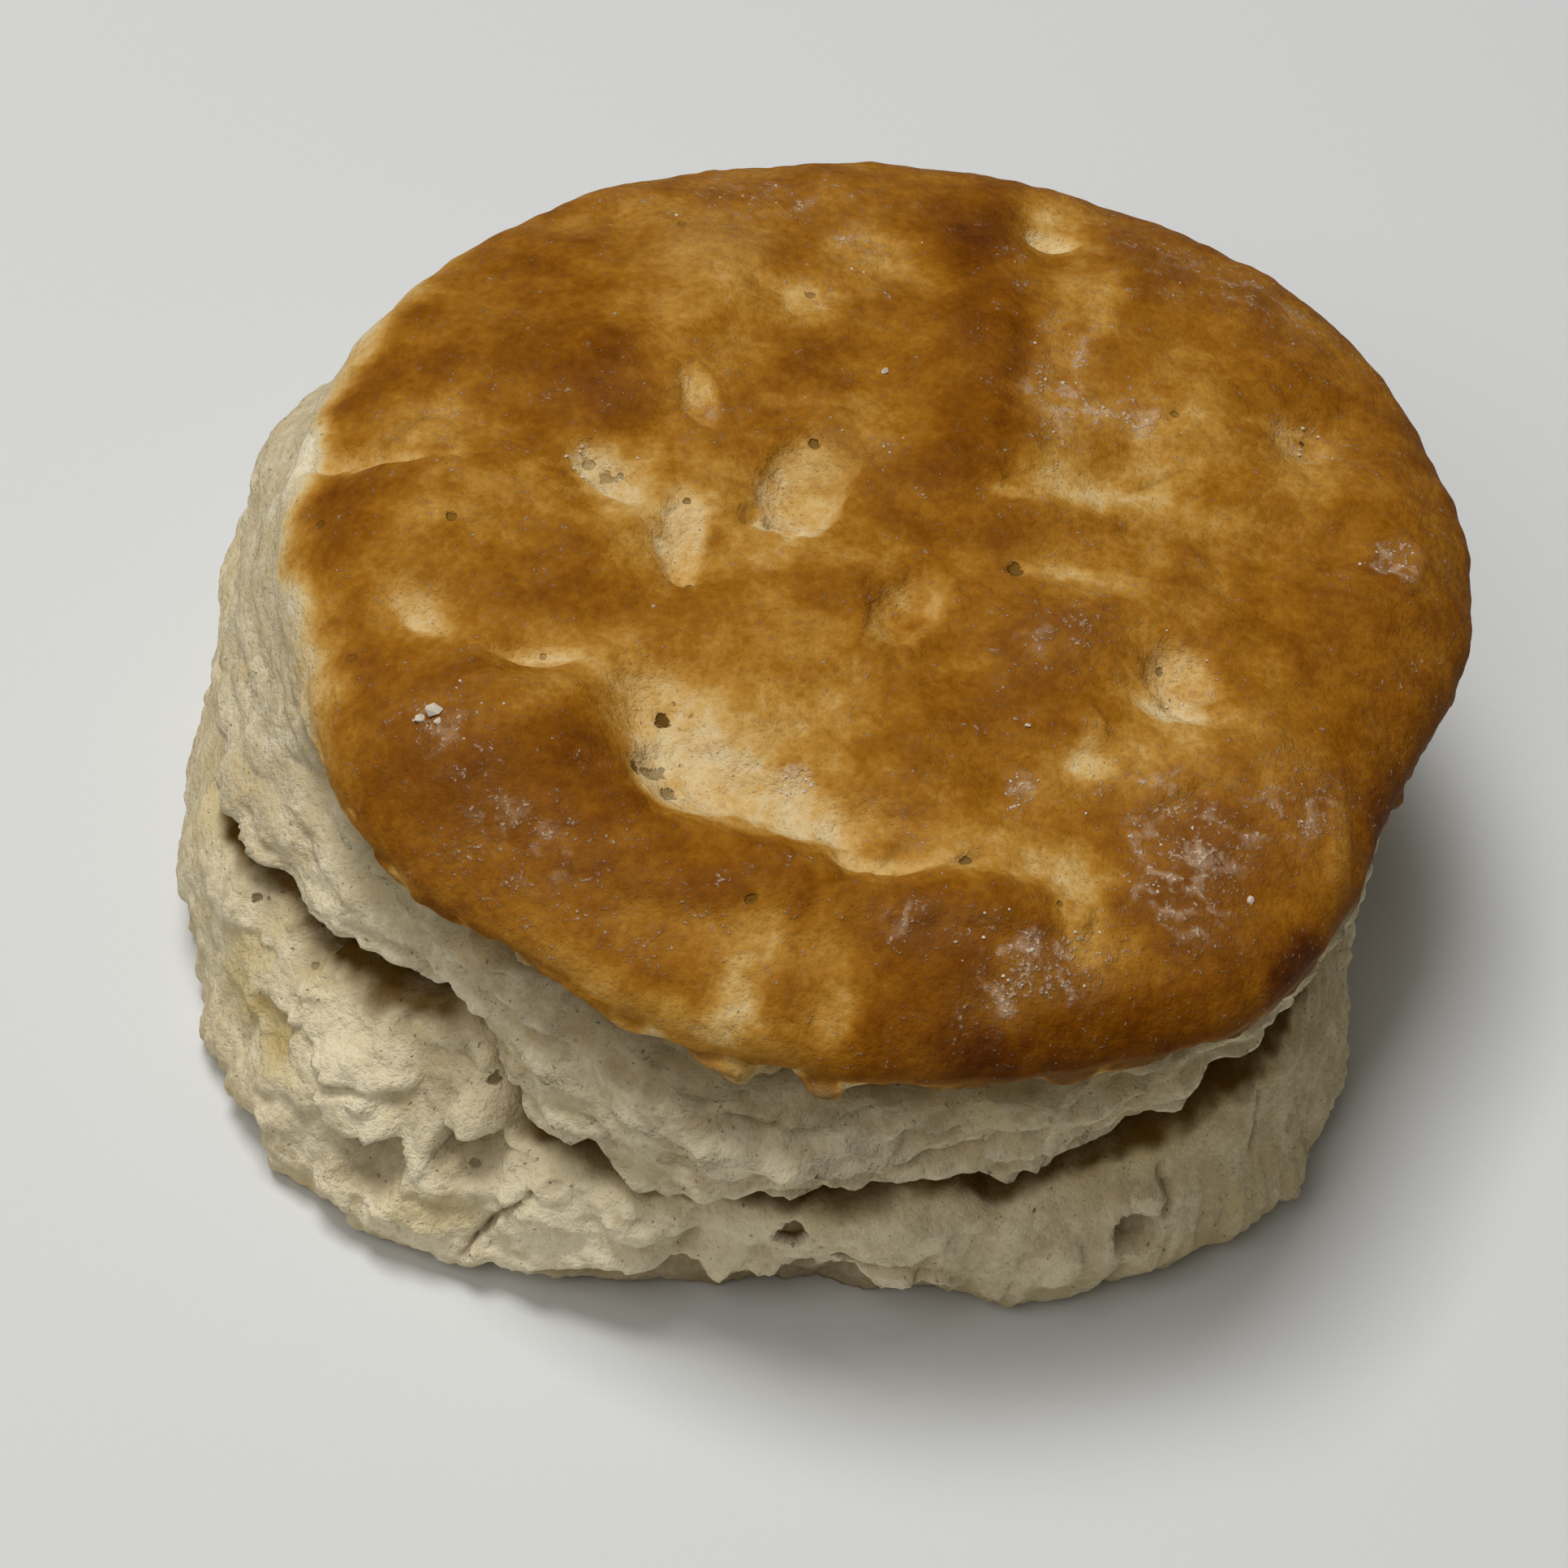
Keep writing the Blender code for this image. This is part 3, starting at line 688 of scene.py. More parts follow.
SKIRT_CRACKS: dict[str, Crack] = {
    "long crack, lower": Crack((-110.8, 2.6), (-109.7, 6.4), 0.22, 1.2, 0.5),
    "long crack, upper": Crack((-109.8, 6.2), (-107.3, 9.4), 0.20, 1.0, 0.5),
    "slit beyond the crack": Crack((-106.9, 10.2), (-105.5, 10.4), 0.2, 0.5, 0.1),
    "crack by the cavity": Crack((-138.8, 15.2), (-135.5, 13.2), 0.25, 0.9, 0.4),
    "second crack by the cavity": Crack((-137.0, 15.4), (-134.4, 14.2), 0.2, 0.7, 0.3),
    "crack at the end of the shelf": Crack((-117.2, 14.6), (-114.4, 14.3), 0.18, 0.7, 0.3),
    "crease at the right": Crack((-37.5, 8.6), (-36.2, 12.6), 0.2, 0.3, 0.4),
    "crease above the right crater": Crack((-48.5, 11.8), (-48.0, 9.8), 0.18, 0.5, 0.3),
    "crease in the bright lump": Crack((-100.0, 10.4), (-97.0, 10.2), 0.18, 0.4, 0.2),
}

# Pinholes of the skirt: angle, height, radius, strength of the painted shade inside.
SKIRT_PINHOLES: dict[str, tuple[float, float, float, float]] = {
    "under the ridge": (-116.2, 13.8, 0.42, 0.85),
    "beside it": (-117.6, 13.4, 0.16, 0.6),
    "in the front crater": (-113.9, 8.2, 0.3, 0.7),
    "at the left": (-147.5, 12.9, 0.30, 0.8),
    "above it": (-148.9, 13.4, 0.2, 0.6),
    "next to it": (-146.6, 13.2, 0.14, 0.6),
    "in the cavity": (-140.6, 14.2, 0.42, 0.8),
    "below the cavity": (-138.0, 12.8, 0.24, 0.6),
    "at the front right": (-60.3, 10.1, 0.16, 0.7),
}


@dataclass(frozen=True)
class Dough:
    """The biscuit's skin: where every point of it lies, and its tones.

    The rings run from the crust's edge down to the floor.

    Attributes:
        lean: How far the axis leans to the right for each unit of height.
        crown_rise: How much higher the crown's middle is than the crust's edge.
        neck_height: Height of the groove under the crust.
        skirt_height: Height of the skirt's fullest line.
        base_height: Height of the base's fullest line.
        foot_tuck: How far the foot draws in under the base.
        crust: Radius of the crust's edge.
        neck: Radius of the groove under the crust.
        wall: Radius of the upper wall.
        shelf: Radius of the shelf's edge.
        shelf_height: Height of the shelf's edge.
        crevice: How deep the crevice under the shelf goes.
        skirt: Radius of the skirt.
        base: Radius of the base.
        under_layer: How far the lowest layer splits off, from 0 to 1.
        steep_face: How far the skirt stands up steeply, from 0 to 1.
        gap: How far the skirt's lip lies below the shelf's edge.
    """

    lean: float = 0.18
    crown_rise: float = 6.0
    neck_height: float = 24.4
    skirt_height: float = 8.0
    base_height: float = 3.0
    foot_tuck: float = 2.4
    crust: Ring = Ring(
        37.6,
        (
            (48, 26, 1.1), (98, 34, -1.4), (-17, 17, -2.9), (-52, 11, 1.4), (-78, 12, 0.7),
            (-98, 10, 0.4), (-135, 10, 0.8), (-158, 9, -0.9),
        ),
    )
    neck: Ring = Ring(
        36.5,
        ((48, 26, 1.3), (-17, 17, -0.5), (-97, 7, 1.4), (-130, 9, -0.5), (168, 26, 2.2)),
    )
    wall: Ring = Ring(
        36.4,
        (
            (52, 25, 1.5), (-95, 12, 1.4), (-126, 14, -0.9), (-165, 14, 1.6), (160, 20, 4.0),
            (-8, 16, -0.9),
        ),
    )
    shelf: Ring = Ring(
        36.0,
        (
            (-8, 16, -0.8), (52, 30, 1.4), (-97, 7, 1.4), (-128, 12, -1.9), (-152, 14, 2.6),
            (-172, 14, 1.9), (158, 17, 5.0),
        ),
    )
    shelf_height: Ring = Ring(
        14.2,
        (
            (-145, 26, 2.8), (-156, 6, -1.6), (-122, 6, 3.0), (-112, 4, -0.9), (-100, 12, -0.5),
            (-86, 3, -0.9), (-73, 5, 1.3), (-64, 2.5, -1.0), (-40, 13, 2.5), (165, 26, 2.0),
            (70, 40, -1.5),
        ),
    )
    crevice: Ring = Ring(
        2.3,
        (
            (-117.5, 5.5, -2.3), (165, 24, -2.1), (-142, 10, 0.5), (-60, 16, 0.5), (20, 18, -1.2),
            (100, 22, -1.5),
        ),
    )
    skirt: Ring = Ring(
        37.3,
        (
            (157, 18, 4.0), (-176, 12, 0.4), (-158, 10, 0.9), (-135, 18, 2.2), (-88, 14, -1.2),
            (-42, 18, 2.6), (55, 30, 1.2),
        ),
    )
    base: Ring = Ring(
        39.3,
        (
            (-128, 17, 3.0), (-80, 17, -3.0), (-30, 17, 3.2), (-54, 13, 1.0), (-3, 11, -2.2),
            (180, 15, -1.6), (150, 14, 0.8),
        ),
    )
    under_layer: Ring = Ring(0.0, ((-97, 8, 0.9), (-84, 10, 1.0), (-72, 8, 0.8)))
    steep_face: Ring = Ring(0.0, ((-88, 17, 1.0),))
    gap: Ring = Ring(2.7, ((-136, 13, -0.5), (-117, 6, -0.7), (-88, 17, -0.8)))

    def crust_edge(self, angle: np.ndarray) -> tuple[np.ndarray, np.ndarray]:
        """Radius and height of the crust's edge at each angle."""
        around = on_ring(angle, SIDE_RADIUS)
        radius = self.crust.at(angle) + 0.25 * dough_noise(around, 3.6, Grain.CRUST_EDGE)
        radius += 0.12 * dough_noise(around, 1.3, Grain.CRUST_FRINGE)
        height = CRUST_HEIGHT + 0.5 * dough_noise(around, 9.0, Grain.CRUST_HEIGHT)
        return radius, height

    def rings(self, angle: np.ndarray) -> tuple[np.ndarray, np.ndarray]:
        """Every ring of the side at each angle.

        Args:
            angle: Angles in radians.

        Returns:
            Radii and heights, one column for each ring from crust to floor.
        """
        around = on_ring(angle, WALL_RADIUS)
        below = on_ring(angle, BASE_RADIUS)
        crust, crust_z = self.crust_edge(angle)
        neck = self.neck.at(angle)
        wall = self.wall.at(angle)
        fine = 0.28 * dough_noise(around, 1.5, Grain.RAGGED)
        finest = 0.13 * dough_noise(around, 0.75, Grain.RAGGED_FINE)
        shelf = self.shelf.at(angle) + 0.75 * dough_noise(around, 3.6, Grain.SHELF_EDGE)
        shelf = shelf + fine + finest
        shelf_z = self.shelf_height.at(angle) + 0.35 * dough_noise(around, 5.0, Grain.SHELF_HEIGHT)
        shelf_z += 0.3 * dough_noise(around, 1.4, Grain.SHELF_WAVES)
        depth = np.maximum(1.5 * self.crevice.at(angle), 0.15)
        skirt = self.skirt.at(angle)
        lip = 0.45 * (shelf - 0.3 * depth) + 0.55 * skirt - 0.9
        base = self.base.at(angle) + 0.6 * dough_noise(below, 3.6, Grain.BASE)
        finest_base = 0.18 * dough_noise(below, 0.6, Grain.BASE_FINEST)
        base += 0.26 * dough_noise(below, 1.2, Grain.BASE_FINE) + finest_base
        toothed = by_side(angle, -32.0, 0.6)
        base += 0.8 * toothed * (0.35 - np.abs(dough_noise(below, 1.3, Grain.BASE_TEETH)) * 1.6)
        split = self.under_layer.at(angle) + 0.12 * dough_noise(below, 2.4, Grain.UNDER_LAYER)
        split = np.clip(split, 0, 1)
        thick = 3.0 + 0.8 * dough_noise(below, 2.2, Grain.UNDER_EDGE)
        edge = split * (thick + 1.5 * fine + 1.2 * finest)
        edge += 0.5 * split * dough_noise(below, 0.8, Grain.UNDER_EDGE_FINE)
        steep = self.steep_face.at(angle)
        lip += 0.5 * steep
        foot = base - self.foot_tuck
        level = np.full_like(angle, self.base_height)
        stations = (
            (crust - 0.5, crust_z + 2.0),
            (crust, crust_z),
            (crust - 0.3 * (crust - neck) - 0.1, crust_z - 2.0),
            (neck, np.full_like(angle, self.neck_height)),
            (wall, 0.5 * (self.neck_height + shelf_z) + 0.6),
            (shelf, shelf_z),
            (shelf - 0.45 * depth, shelf_z - 0.7),
            (shelf - depth, shelf_z - 1.4),
            (lip, shelf_z - self.gap.at(angle)),
            (
                0.5 * (skirt + lip) + 0.7,
                0.5 * (self.skirt_height + shelf_z) - 1.0 + 0.8 * steep,
            ),
            (0.45 * skirt + 0.55 * base + 0.6 - 0.1 * split, 2.0 * level + 1.6 * split),
            (base + 0.25 * split, level + edge),
            (base - 0.4 * self.foot_tuck + 0.2 * split, 0.25 * level + 1.25 * edge),
            (foot + 1.0 * split, 2.2 * split),
            (foot + 0.1 * split, 0.0 * level),
            (foot - 1.0, 0.0 * level),
        )
        radii = np.stack([station[0] for station in stations], axis=1)
        heights = np.stack([station[1] for station in stations], axis=1)
        return radii, heights

    @staticmethod
    def along(controls: np.ndarray, place: np.ndarray) -> np.ndarray:
        """Smooth curve through the rings, read at a fractional ring number."""
        start = np.clip(np.floor(place).astype(int), 0, controls.shape[1] - 4)
        step = place - start
        rows = np.arange(len(place))
        before, here, after, beyond = (controls[rows, start + shift] for shift in range(4))
        return 0.5 * (
            2.0 * here
            + (after - before) * step
            + (2.0 * before - 5.0 * here + 4.0 * after - beyond) * step ** 2
            + (3.0 * here - before - 3.0 * after + beyond) * step ** 3
        )

    def crown(self, angle: np.ndarray, reach: np.ndarray) -> tuple[np.ndarray, Tones]:
        """The crown's points and tones.

        Args:
            angle: Angles in radians.
            reach: Share of the way from the middle to the crust's edge.

        Returns:
            Places in millimetres before the lean, and their tones.
        """
        edge, edge_z = self.crust_edge(angle)
        across = edge * reach * np.cos(angle)
        along = edge * reach * np.sin(angle)
        height = (1.0 - ease(reach)) * CRUST_HEIGHT + ease(reach) * edge_z
        height += self.crown_rise * np.sqrt(np.clip(1.0 - reach ** 4, 0.0, 1.0))
        inner = ease((1.0 - reach) / 0.12)
        flat = np.stack([across, along, np.zeros_like(across)], axis=1)
        for x, y, spread, rise in BROAD_LUMPS.values():
            height += inner * 1.8 * rise * dimple(across - x, along - y, spread)
        broad = dough_noise(flat, 8.5, Grain.CROWN_BROAD)
        height += inner * 0.65 * broad
        tones = Tones.plain(len(angle), 0.585)
        coarse = 0.22 * dough_noise(flat, 4.0, Grain.CROWN_COARSE)
        fine = 0.26 * dough_noise(flat, 1.6, Grain.CROWN_FINE)
        fine += 0.12 * dough_noise(flat, 0.7, Grain.CROWN_FINEST)
        relief = 0.20 * layered_noise(flat, 3.6, Grain.CROWN_RELIEF, 4)
        wrinkle = 1.0 - np.abs(dough_noise(flat, 2.6, Grain.WRINKLES)) * 2.0
        relief += 0.05 * wrinkle * ease(dough_noise(flat, 9.0, Grain.WRINKLED_GROUND) + 0.4)
        for mark in CROWN_MARKS.values():
            wobble = coarse + 0.4 * fine if min(mark.wide, mark.long) > 2.4 else fine
            spread = mark.reach(across - mark.x, along - mark.y, wobble)
            cover = mark.cover(spread)
            relief += 1.7 * (mark.lift * cover + mark.lip * mark.rim(spread))
            tones.add(mark, cover)
            if mark.brown < -0.15:
                halo = np.exp(-((spread / 1.9) ** 2)) * (1.0 - cover)
                tones.brown += mark.brown * (1.4 * fine * cover + 0.45 * halo)
        # Each crack is cut in and darkened with painted shade.
        for crack in CROWN_CRACKS.values():
            cover = crack.cover(across - crack.start[0], along - crack.start[1], fine)
            relief -= crack.depth * cover
            tones.deep += 0.4 * cover
        for x, y, radius, _ in CROWN_PINHOLES.values():
            relief -= 0.9 * radius * dimple(across - x, along - y, PINHOLE_SPREAD * radius)
        height += ease((1.0 - reach) / 0.05) * relief
        tones.brown += 0.055 * broad + 0.07 * dough_noise(flat, 6.0, Grain.CROWN_BROWN)
        patches = 0.06 * dough_noise(flat, 2.4, Grain.CROWN_BROWN_FINE)
        tones.brown += patches + 0.12 * np.clip(relief, -0.5, 0.5)
        tones.flour += 0.08 + 0.16 * dough_noise(flat, 5.0, Grain.CROWN_FLOUR)
        tones.brown = np.maximum(tones.brown, 0.21 + 0.20 * fine)
        rim = ease((reach - 0.90) / 0.10)
        tones.brown += rim * (0.05 + 0.05 * np.cos(angle + 0.5))
        pale = self.pale_side(angle)
        fringe = 0.025 * dough_noise(flat, 3.0, Grain.CROWN_FADE)
        tones.brown -= 0.24 * self.torn_front(angle) * ease((reach - 0.95 + fringe) / 0.04)
        tones.brown -= pale * 0.62 * ease((reach - 0.93 + fringe) / 0.09)
        return np.stack([across, along, height], axis=1), tones

    @staticmethod
    def pale_side(angle: np.ndarray) -> np.ndarray:
        """How far the crust fades into the pale side instead of ending in a lip."""
        return np.exp(-((turned_apart(angle, -178.0) / math.radians(34.0)) ** 4))

    def openness(self, angle: np.ndarray) -> np.ndarray:
        """How far the crevice stands open, from 0 where it is shut to 1."""
        return np.clip(self.crevice.at(angle) / 2.0, 0, 1)

    @staticmethod
    def torn_front(angle: np.ndarray) -> np.ndarray:
        """How far the crust's edge is torn and pale at the front left."""
        return by_side(angle, -103.0, 0.26)

    def wall_side(self, angle: np.ndarray, place: np.ndarray) -> tuple[np.ndarray, Tones]:
        """The upper wall's points and tones, from the crust's edge to the crevice.

        Args:
            angle: Angles in radians.
            place: Ring numbers, from the crust's edge to the back of the crevice.

        Returns:
            Places in millimetres before the lean, and their tones.
        """
        radius, height, spot = self.plain_side(angle, place)
        turned = spot * np.array([1.0, 1.0, 3.2])
        pale = self.pale_side(angle)
        push = 0.16 * layered_noise(spot, 3.0, Grain.WALL_LAYERS, 3)
        push += 0.42 * dough_noise(turned, 5.0, Grain.WALL_FOLDS) * (1.0 - 0.4 * pale)
        push += 0.40 * torn_plates(spot, 4.6, Grain.WALL_PLATES, 3.6) * (1.0 - 0.6 * pale)
        push += 0.18 * puffs(spot * np.array([1.0, 1.0, 1.8]), 1.9, Grain.WALL_PUFFS)
        layered = by_side(angle, -80.0, 0.9)
        sheets = torn_plates(spot, 5.5, Grain.WALL_SHEETS, 5.5)
        sheets *= short_of(place, Line.SHELF + 0.6, 0.8)
        push += (0.10 + 0.30 * layered) * sheets * (1.0 - 0.6 * pale)
        crust = torn_plates(spot, 3.0, Grain.TORN_CRUST, 2.4)
        push += 0.40 * crust * bell(place, Line.UNDER_CRUST - 0.05, 0.7) * (1.0 - pale)
        neck = bell(place, Line.NECK - 0.15, 0.8)
        push -= 2.7 * neck * (1.0 - 0.8 * pale)
        tones = Tones.plain(len(angle), 0.08)
        fine = 0.25 * dough_noise(spot, 1.4, Grain.WALL_FINE)
        push += self.lay_marks(WALL_MARKS.values(), angle, height, fine, tones)
        open_part = ease(place / 1.2) * short_of(place, Line.CREVICE_BACK - 0.05, 0.7)
        fade = open_part + 0.25 * ease(place / 0.5) * (1.0 - open_part)
        radius = radius + fade * push
        ragged = dough_noise(spot, 2.2, Grain.LIP_RAGGED)
        ragged += 0.5 * dough_noise(spot, 0.9, Grain.LIP_RAGGED_FINE)
        torn = self.torn_front(angle)
        lip = ease((1.0 + 0.45 * ragged + 0.3 * crust - place) / 0.8) * (1.0 - 0.55 * torn)
        edge_brown = 0.56 + 0.10 * np.cos(angle + 0.4)
        edge_brown += 0.10 * dough_noise(spot, 3.0, Grain.LIP_BROWN)
        tones.brown += lip * edge_brown * (1.0 - pale)
        tones.brown += 0.14 * ease((1.3 + 0.6 * ragged - place) / 0.9) * (1.0 - pale)
        tones.brown += 0.05 * dough_noise(spot, 6.0, Grain.WALL_BROWN)
        # Painted shade in the neck groove under the crust.
        band = bell(place - Line.NECK, 1.2 * fine, 0.75)
        tones.deep += 0.58 * band * (1.0 - 0.8 * pale)
        # Painted highlight: lighter where the wall bulges out below the neck.
        tones.brown -= 0.05 * np.clip(push + 2.7 * neck, 0, 1) * past(place, Line.NECK + 0.6, 0.6)
        # Painted shade under the shelf's edge, in the open crevice.
        tones.deep += 0.8 * past(place, Line.SHELF + 0.85, 0.6) * self.openness(angle)
        # Warm painted shade under the shelf's edge and at the shaded right front.
        tones.warm += 0.15 * past(place, Line.SHELF + 0.4, 0.8)
        tones.warm += 0.18 * by_side(angle, -40.0, 0.7)
        tones.flour += 0.12 * past(place, Line.NECK - 0.4, 0.5)
        # Painted shade on the left side.
        tones.deep += 0.09 * by_side(angle, -165.0, 0.6)
        return on_ring(angle, radius, height), tones

    def skirt_side(self, angle: np.ndarray, place: np.ndarray) -> tuple[np.ndarray, Tones]:
        """The skirt's points and tones, from the back of the crevice to the floor.

        Args:
            angle: Angles in radians.
            place: Ring numbers, from the back of the crevice to the floor.

        Returns:
            Places in millimetres before the lean, and their tones.
        """
        radius, height, spot = self.plain_side(angle, place)
        calm = by_side(angle, -40.0, 0.5)
        calm = np.maximum(calm, 0.7 * self.pale_side(angle))
        push = (1.0 - 0.75 * calm) * 0.50 * torn_plates(spot, 6.2, Grain.SKIRT_PLATES, 1.4)
        push += (1.0 - 0.7 * calm) * 0.12 * torn_plates(spot, 2.6, Grain.SKIRT_SMALL_PLATES, 1.2)
        push += 0.20 * layered_noise(spot, 3.4, Grain.SKIRT_LAYERS, 3)
        small = 0.05 * puffs(spot, 1.1, Grain.SKIRT_SMALL_PUFFS)
        push += 0.12 * puffs(spot, 3.0, Grain.SKIRT_PUFFS) + small
        tones = Tones.plain(len(angle), 0.07)
        fine = 0.25 * dough_noise(spot, 1.4, Grain.SKIRT_FINE)
        push += self.lay_marks(SKIRT_MARKS.values(), angle, height, fine, tones)
        # Each crack is cut in and darkened with painted shade.
        for crack in SKIRT_CRACKS.values():
            start = math.radians(crack.start[0]) * SIDE_RADIUS
            end = math.radians(crack.end[0]) * SIDE_RADIUS
            groove = Crack((start, crack.start[1]), (end, crack.end[1]), crack.width, crack.depth,
                           crack.wander)
            cover = groove.cover(turned_apart(angle, crack.start[0]) * SIDE_RADIUS,
                                 height - crack.start[1], fine * 2.0)
            push -= crack.depth * cover
            tones.deep += 0.35 * cover
        for centre, level, size, _ in SKIRT_PINHOLES.values():
            aside = turned_apart(angle, centre) * SIDE_RADIUS
            push -= size * dimple(aside, height - level, PINHOLE_SPREAD * size)
        fade = past(place, Line.CREVICE_BACK + 0.2, 1.4) * short_of(place, Line.FLOOR, 1.6)
        radius = radius + fade * push
        # Painted shade in the open crevice under the shelf and in pushed-in hollows; raised parts
        # are lightened as a painted highlight.
        shade = short_of(place, Line.SKIRT_LIP + 0.55 + 0.9 * fine, 0.6)
        tones.deep += 0.9 * self.openness(angle) * shade
        tones.deep += 0.26 * np.clip(-push / 1.4, 0, 1)
        tones.brown -= 0.05 * np.clip(push, 0, 1)
        tones.warm += 0.25 * short_of(place, Line.SKIRT + 0.6, 1.4)
        tones.warm += 0.16 * np.clip(dough_noise(spot, 7.0, Grain.SKIRT_WARM), 0, 1)
        # Painted shade under the split-off lowest layer.
        split = np.clip(self.under_layer.at(angle), 0, 1)
        tones.deep += split * 0.42 * past(place, Line.BASE + 0.4, 0.35)
        tones.brown += 0.04 * dough_noise(spot, 5.0, Grain.SKIRT_BROWN)
        # Painted light on the front of the skirt.
        front = by_side(angle, -97.0, 0.38)
        tones.brown -= 0.09 * front * short_of(place, Line.UNDER_BASE, 1.0)
        # Painted shade on the left side, and warm painted shade at the shaded right.
        tones.deep += 0.09 * by_side(angle, -160.0, 0.6)
        right = by_side(angle, -30.0, 0.6)
        tones.warm += 0.22 * right
        tones.deep += 0.08 * right
        tones.brown += 0.05 * past(place, Line.BASE, 1.5) * (1.0 - split)
        tones.flour += 0.05 + 0.1 * dough_noise(spot, 4.0, Grain.SKIRT_FLOUR)
        return on_ring(angle, radius, height), tones

    def plain_side(
        self, angle: np.ndarray, place: np.ndarray
    ) -> tuple[np.ndarray, np.ndarray, np.ndarray]:
        """The side before its fine relief: radius, height and place in space."""
        radii, heights = self.rings(angle)
        radius = self.along(radii, place)
        height = np.maximum(self.along(heights, place), 0.0)
        spot = on_ring(angle, radius, height)
        fade = ease(place / 2.0) * short_of(place, Line.FLOOR, 2.5)
        radius = radius + fade * 0.65 * dough_noise(spot, 7.5, Grain.SIDE_BROAD)
        return radius, height, spot

    @staticmethod
    def lay_marks(
        marks: Iterable[Mark],
        angle: np.ndarray,
        height: np.ndarray,
        wobble: np.ndarray,
        tones: Tones,
    ) -> np.ndarray:
        """Lay marks on the side.

        Args:
            marks: Marks whose x is an angle in degrees and whose y is a height.
            angle: Angles of the points in radians.
            height: Heights of the points.
            wobble: Unevenness of the marks' outlines.
            tones: Tones that the marks are added to.

        Returns:
            How far the marks push each point outwards.
        """
        push = np.zeros_like(angle)
        for mark in marks:
            uneven = wobble * min(1.0, mark.wide, mark.long)
            spread = mark.reach(turned_apart(angle, mark.x) * SIDE_RADIUS, height - mark.y, uneven)
            cover = mark.cover(spread)
            push += mark.lift * cover + mark.lip * mark.rim(spread)
            tones.add(mark, cover)
        return push

    def leaned(self, places: np.ndarray) -> np.ndarray:
        """Places in metres, leaning with the height."""
        out = places.copy()
        out[:, 0] += self.lean * out[:, 2]
        out[:, 2] = np.maximum(out[:, 2], 0.0)
        return out * MILLIMETRE

    def crown_spot(self, x: float, y: float) -> Vector:
        """Where a point of the crown's plan lies on the biscuit, in metres."""
        angle = np.array([math.atan2(y, x)])
        edge, _ = self.crust_edge(angle)
        places, _ = self.crown(angle, np.array([math.hypot(x, y)]) / edge)
        return Vector(self.leaned(places)[0])

    def skirt_spot(self, degrees: float, level: float) -> Vector:
        """Where a point of the skirt lies, from its angle and height, in metres."""
        places = np.linspace(Line.CREVICE_BACK + 0.6, Line.FLOOR - 0.2, 240)
        points, _ = self.skirt_side(np.full_like(places, math.radians(degrees)), places)
        nearest = int(np.argmin(np.abs(points[:, 2] - level)))
        return Vector(self.leaned(points[nearest : nearest + 1])[0])


def written_mesh(name: str, body: bmesh.types.BMesh) -> bpy.types.Mesh:
    """Write a finished body into a new mesh."""
    mesh = bpy.data.meshes.new(name)
    body.to_mesh(mesh)
    body.free()
    return mesh


def placed(name: str, data: bpy.types.ID) -> bpy.types.Object:
    """Put new data into the scene as an object at the origin."""
    item = bpy.data.objects.new(name, data)
    bpy.context.scene.collection.objects.link(item)
    return item


class Stretch(Enum):
    """The stretches of the skin that a row of points can lie on."""

    CROWN = "crown"
    WALL = "wall"
    SKIRT = "skirt"
    INSIDE = "inside"
    BOTTOM = "bottom"


@dataclass(frozen=True)
class Row:
    """One row of points round the axis.

    Attributes:
        stretch: Which stretch of the skin it lies on.
        share: How far along that stretch, as a share or as a ring number.
    """

    stretch: Stretch
    share: float


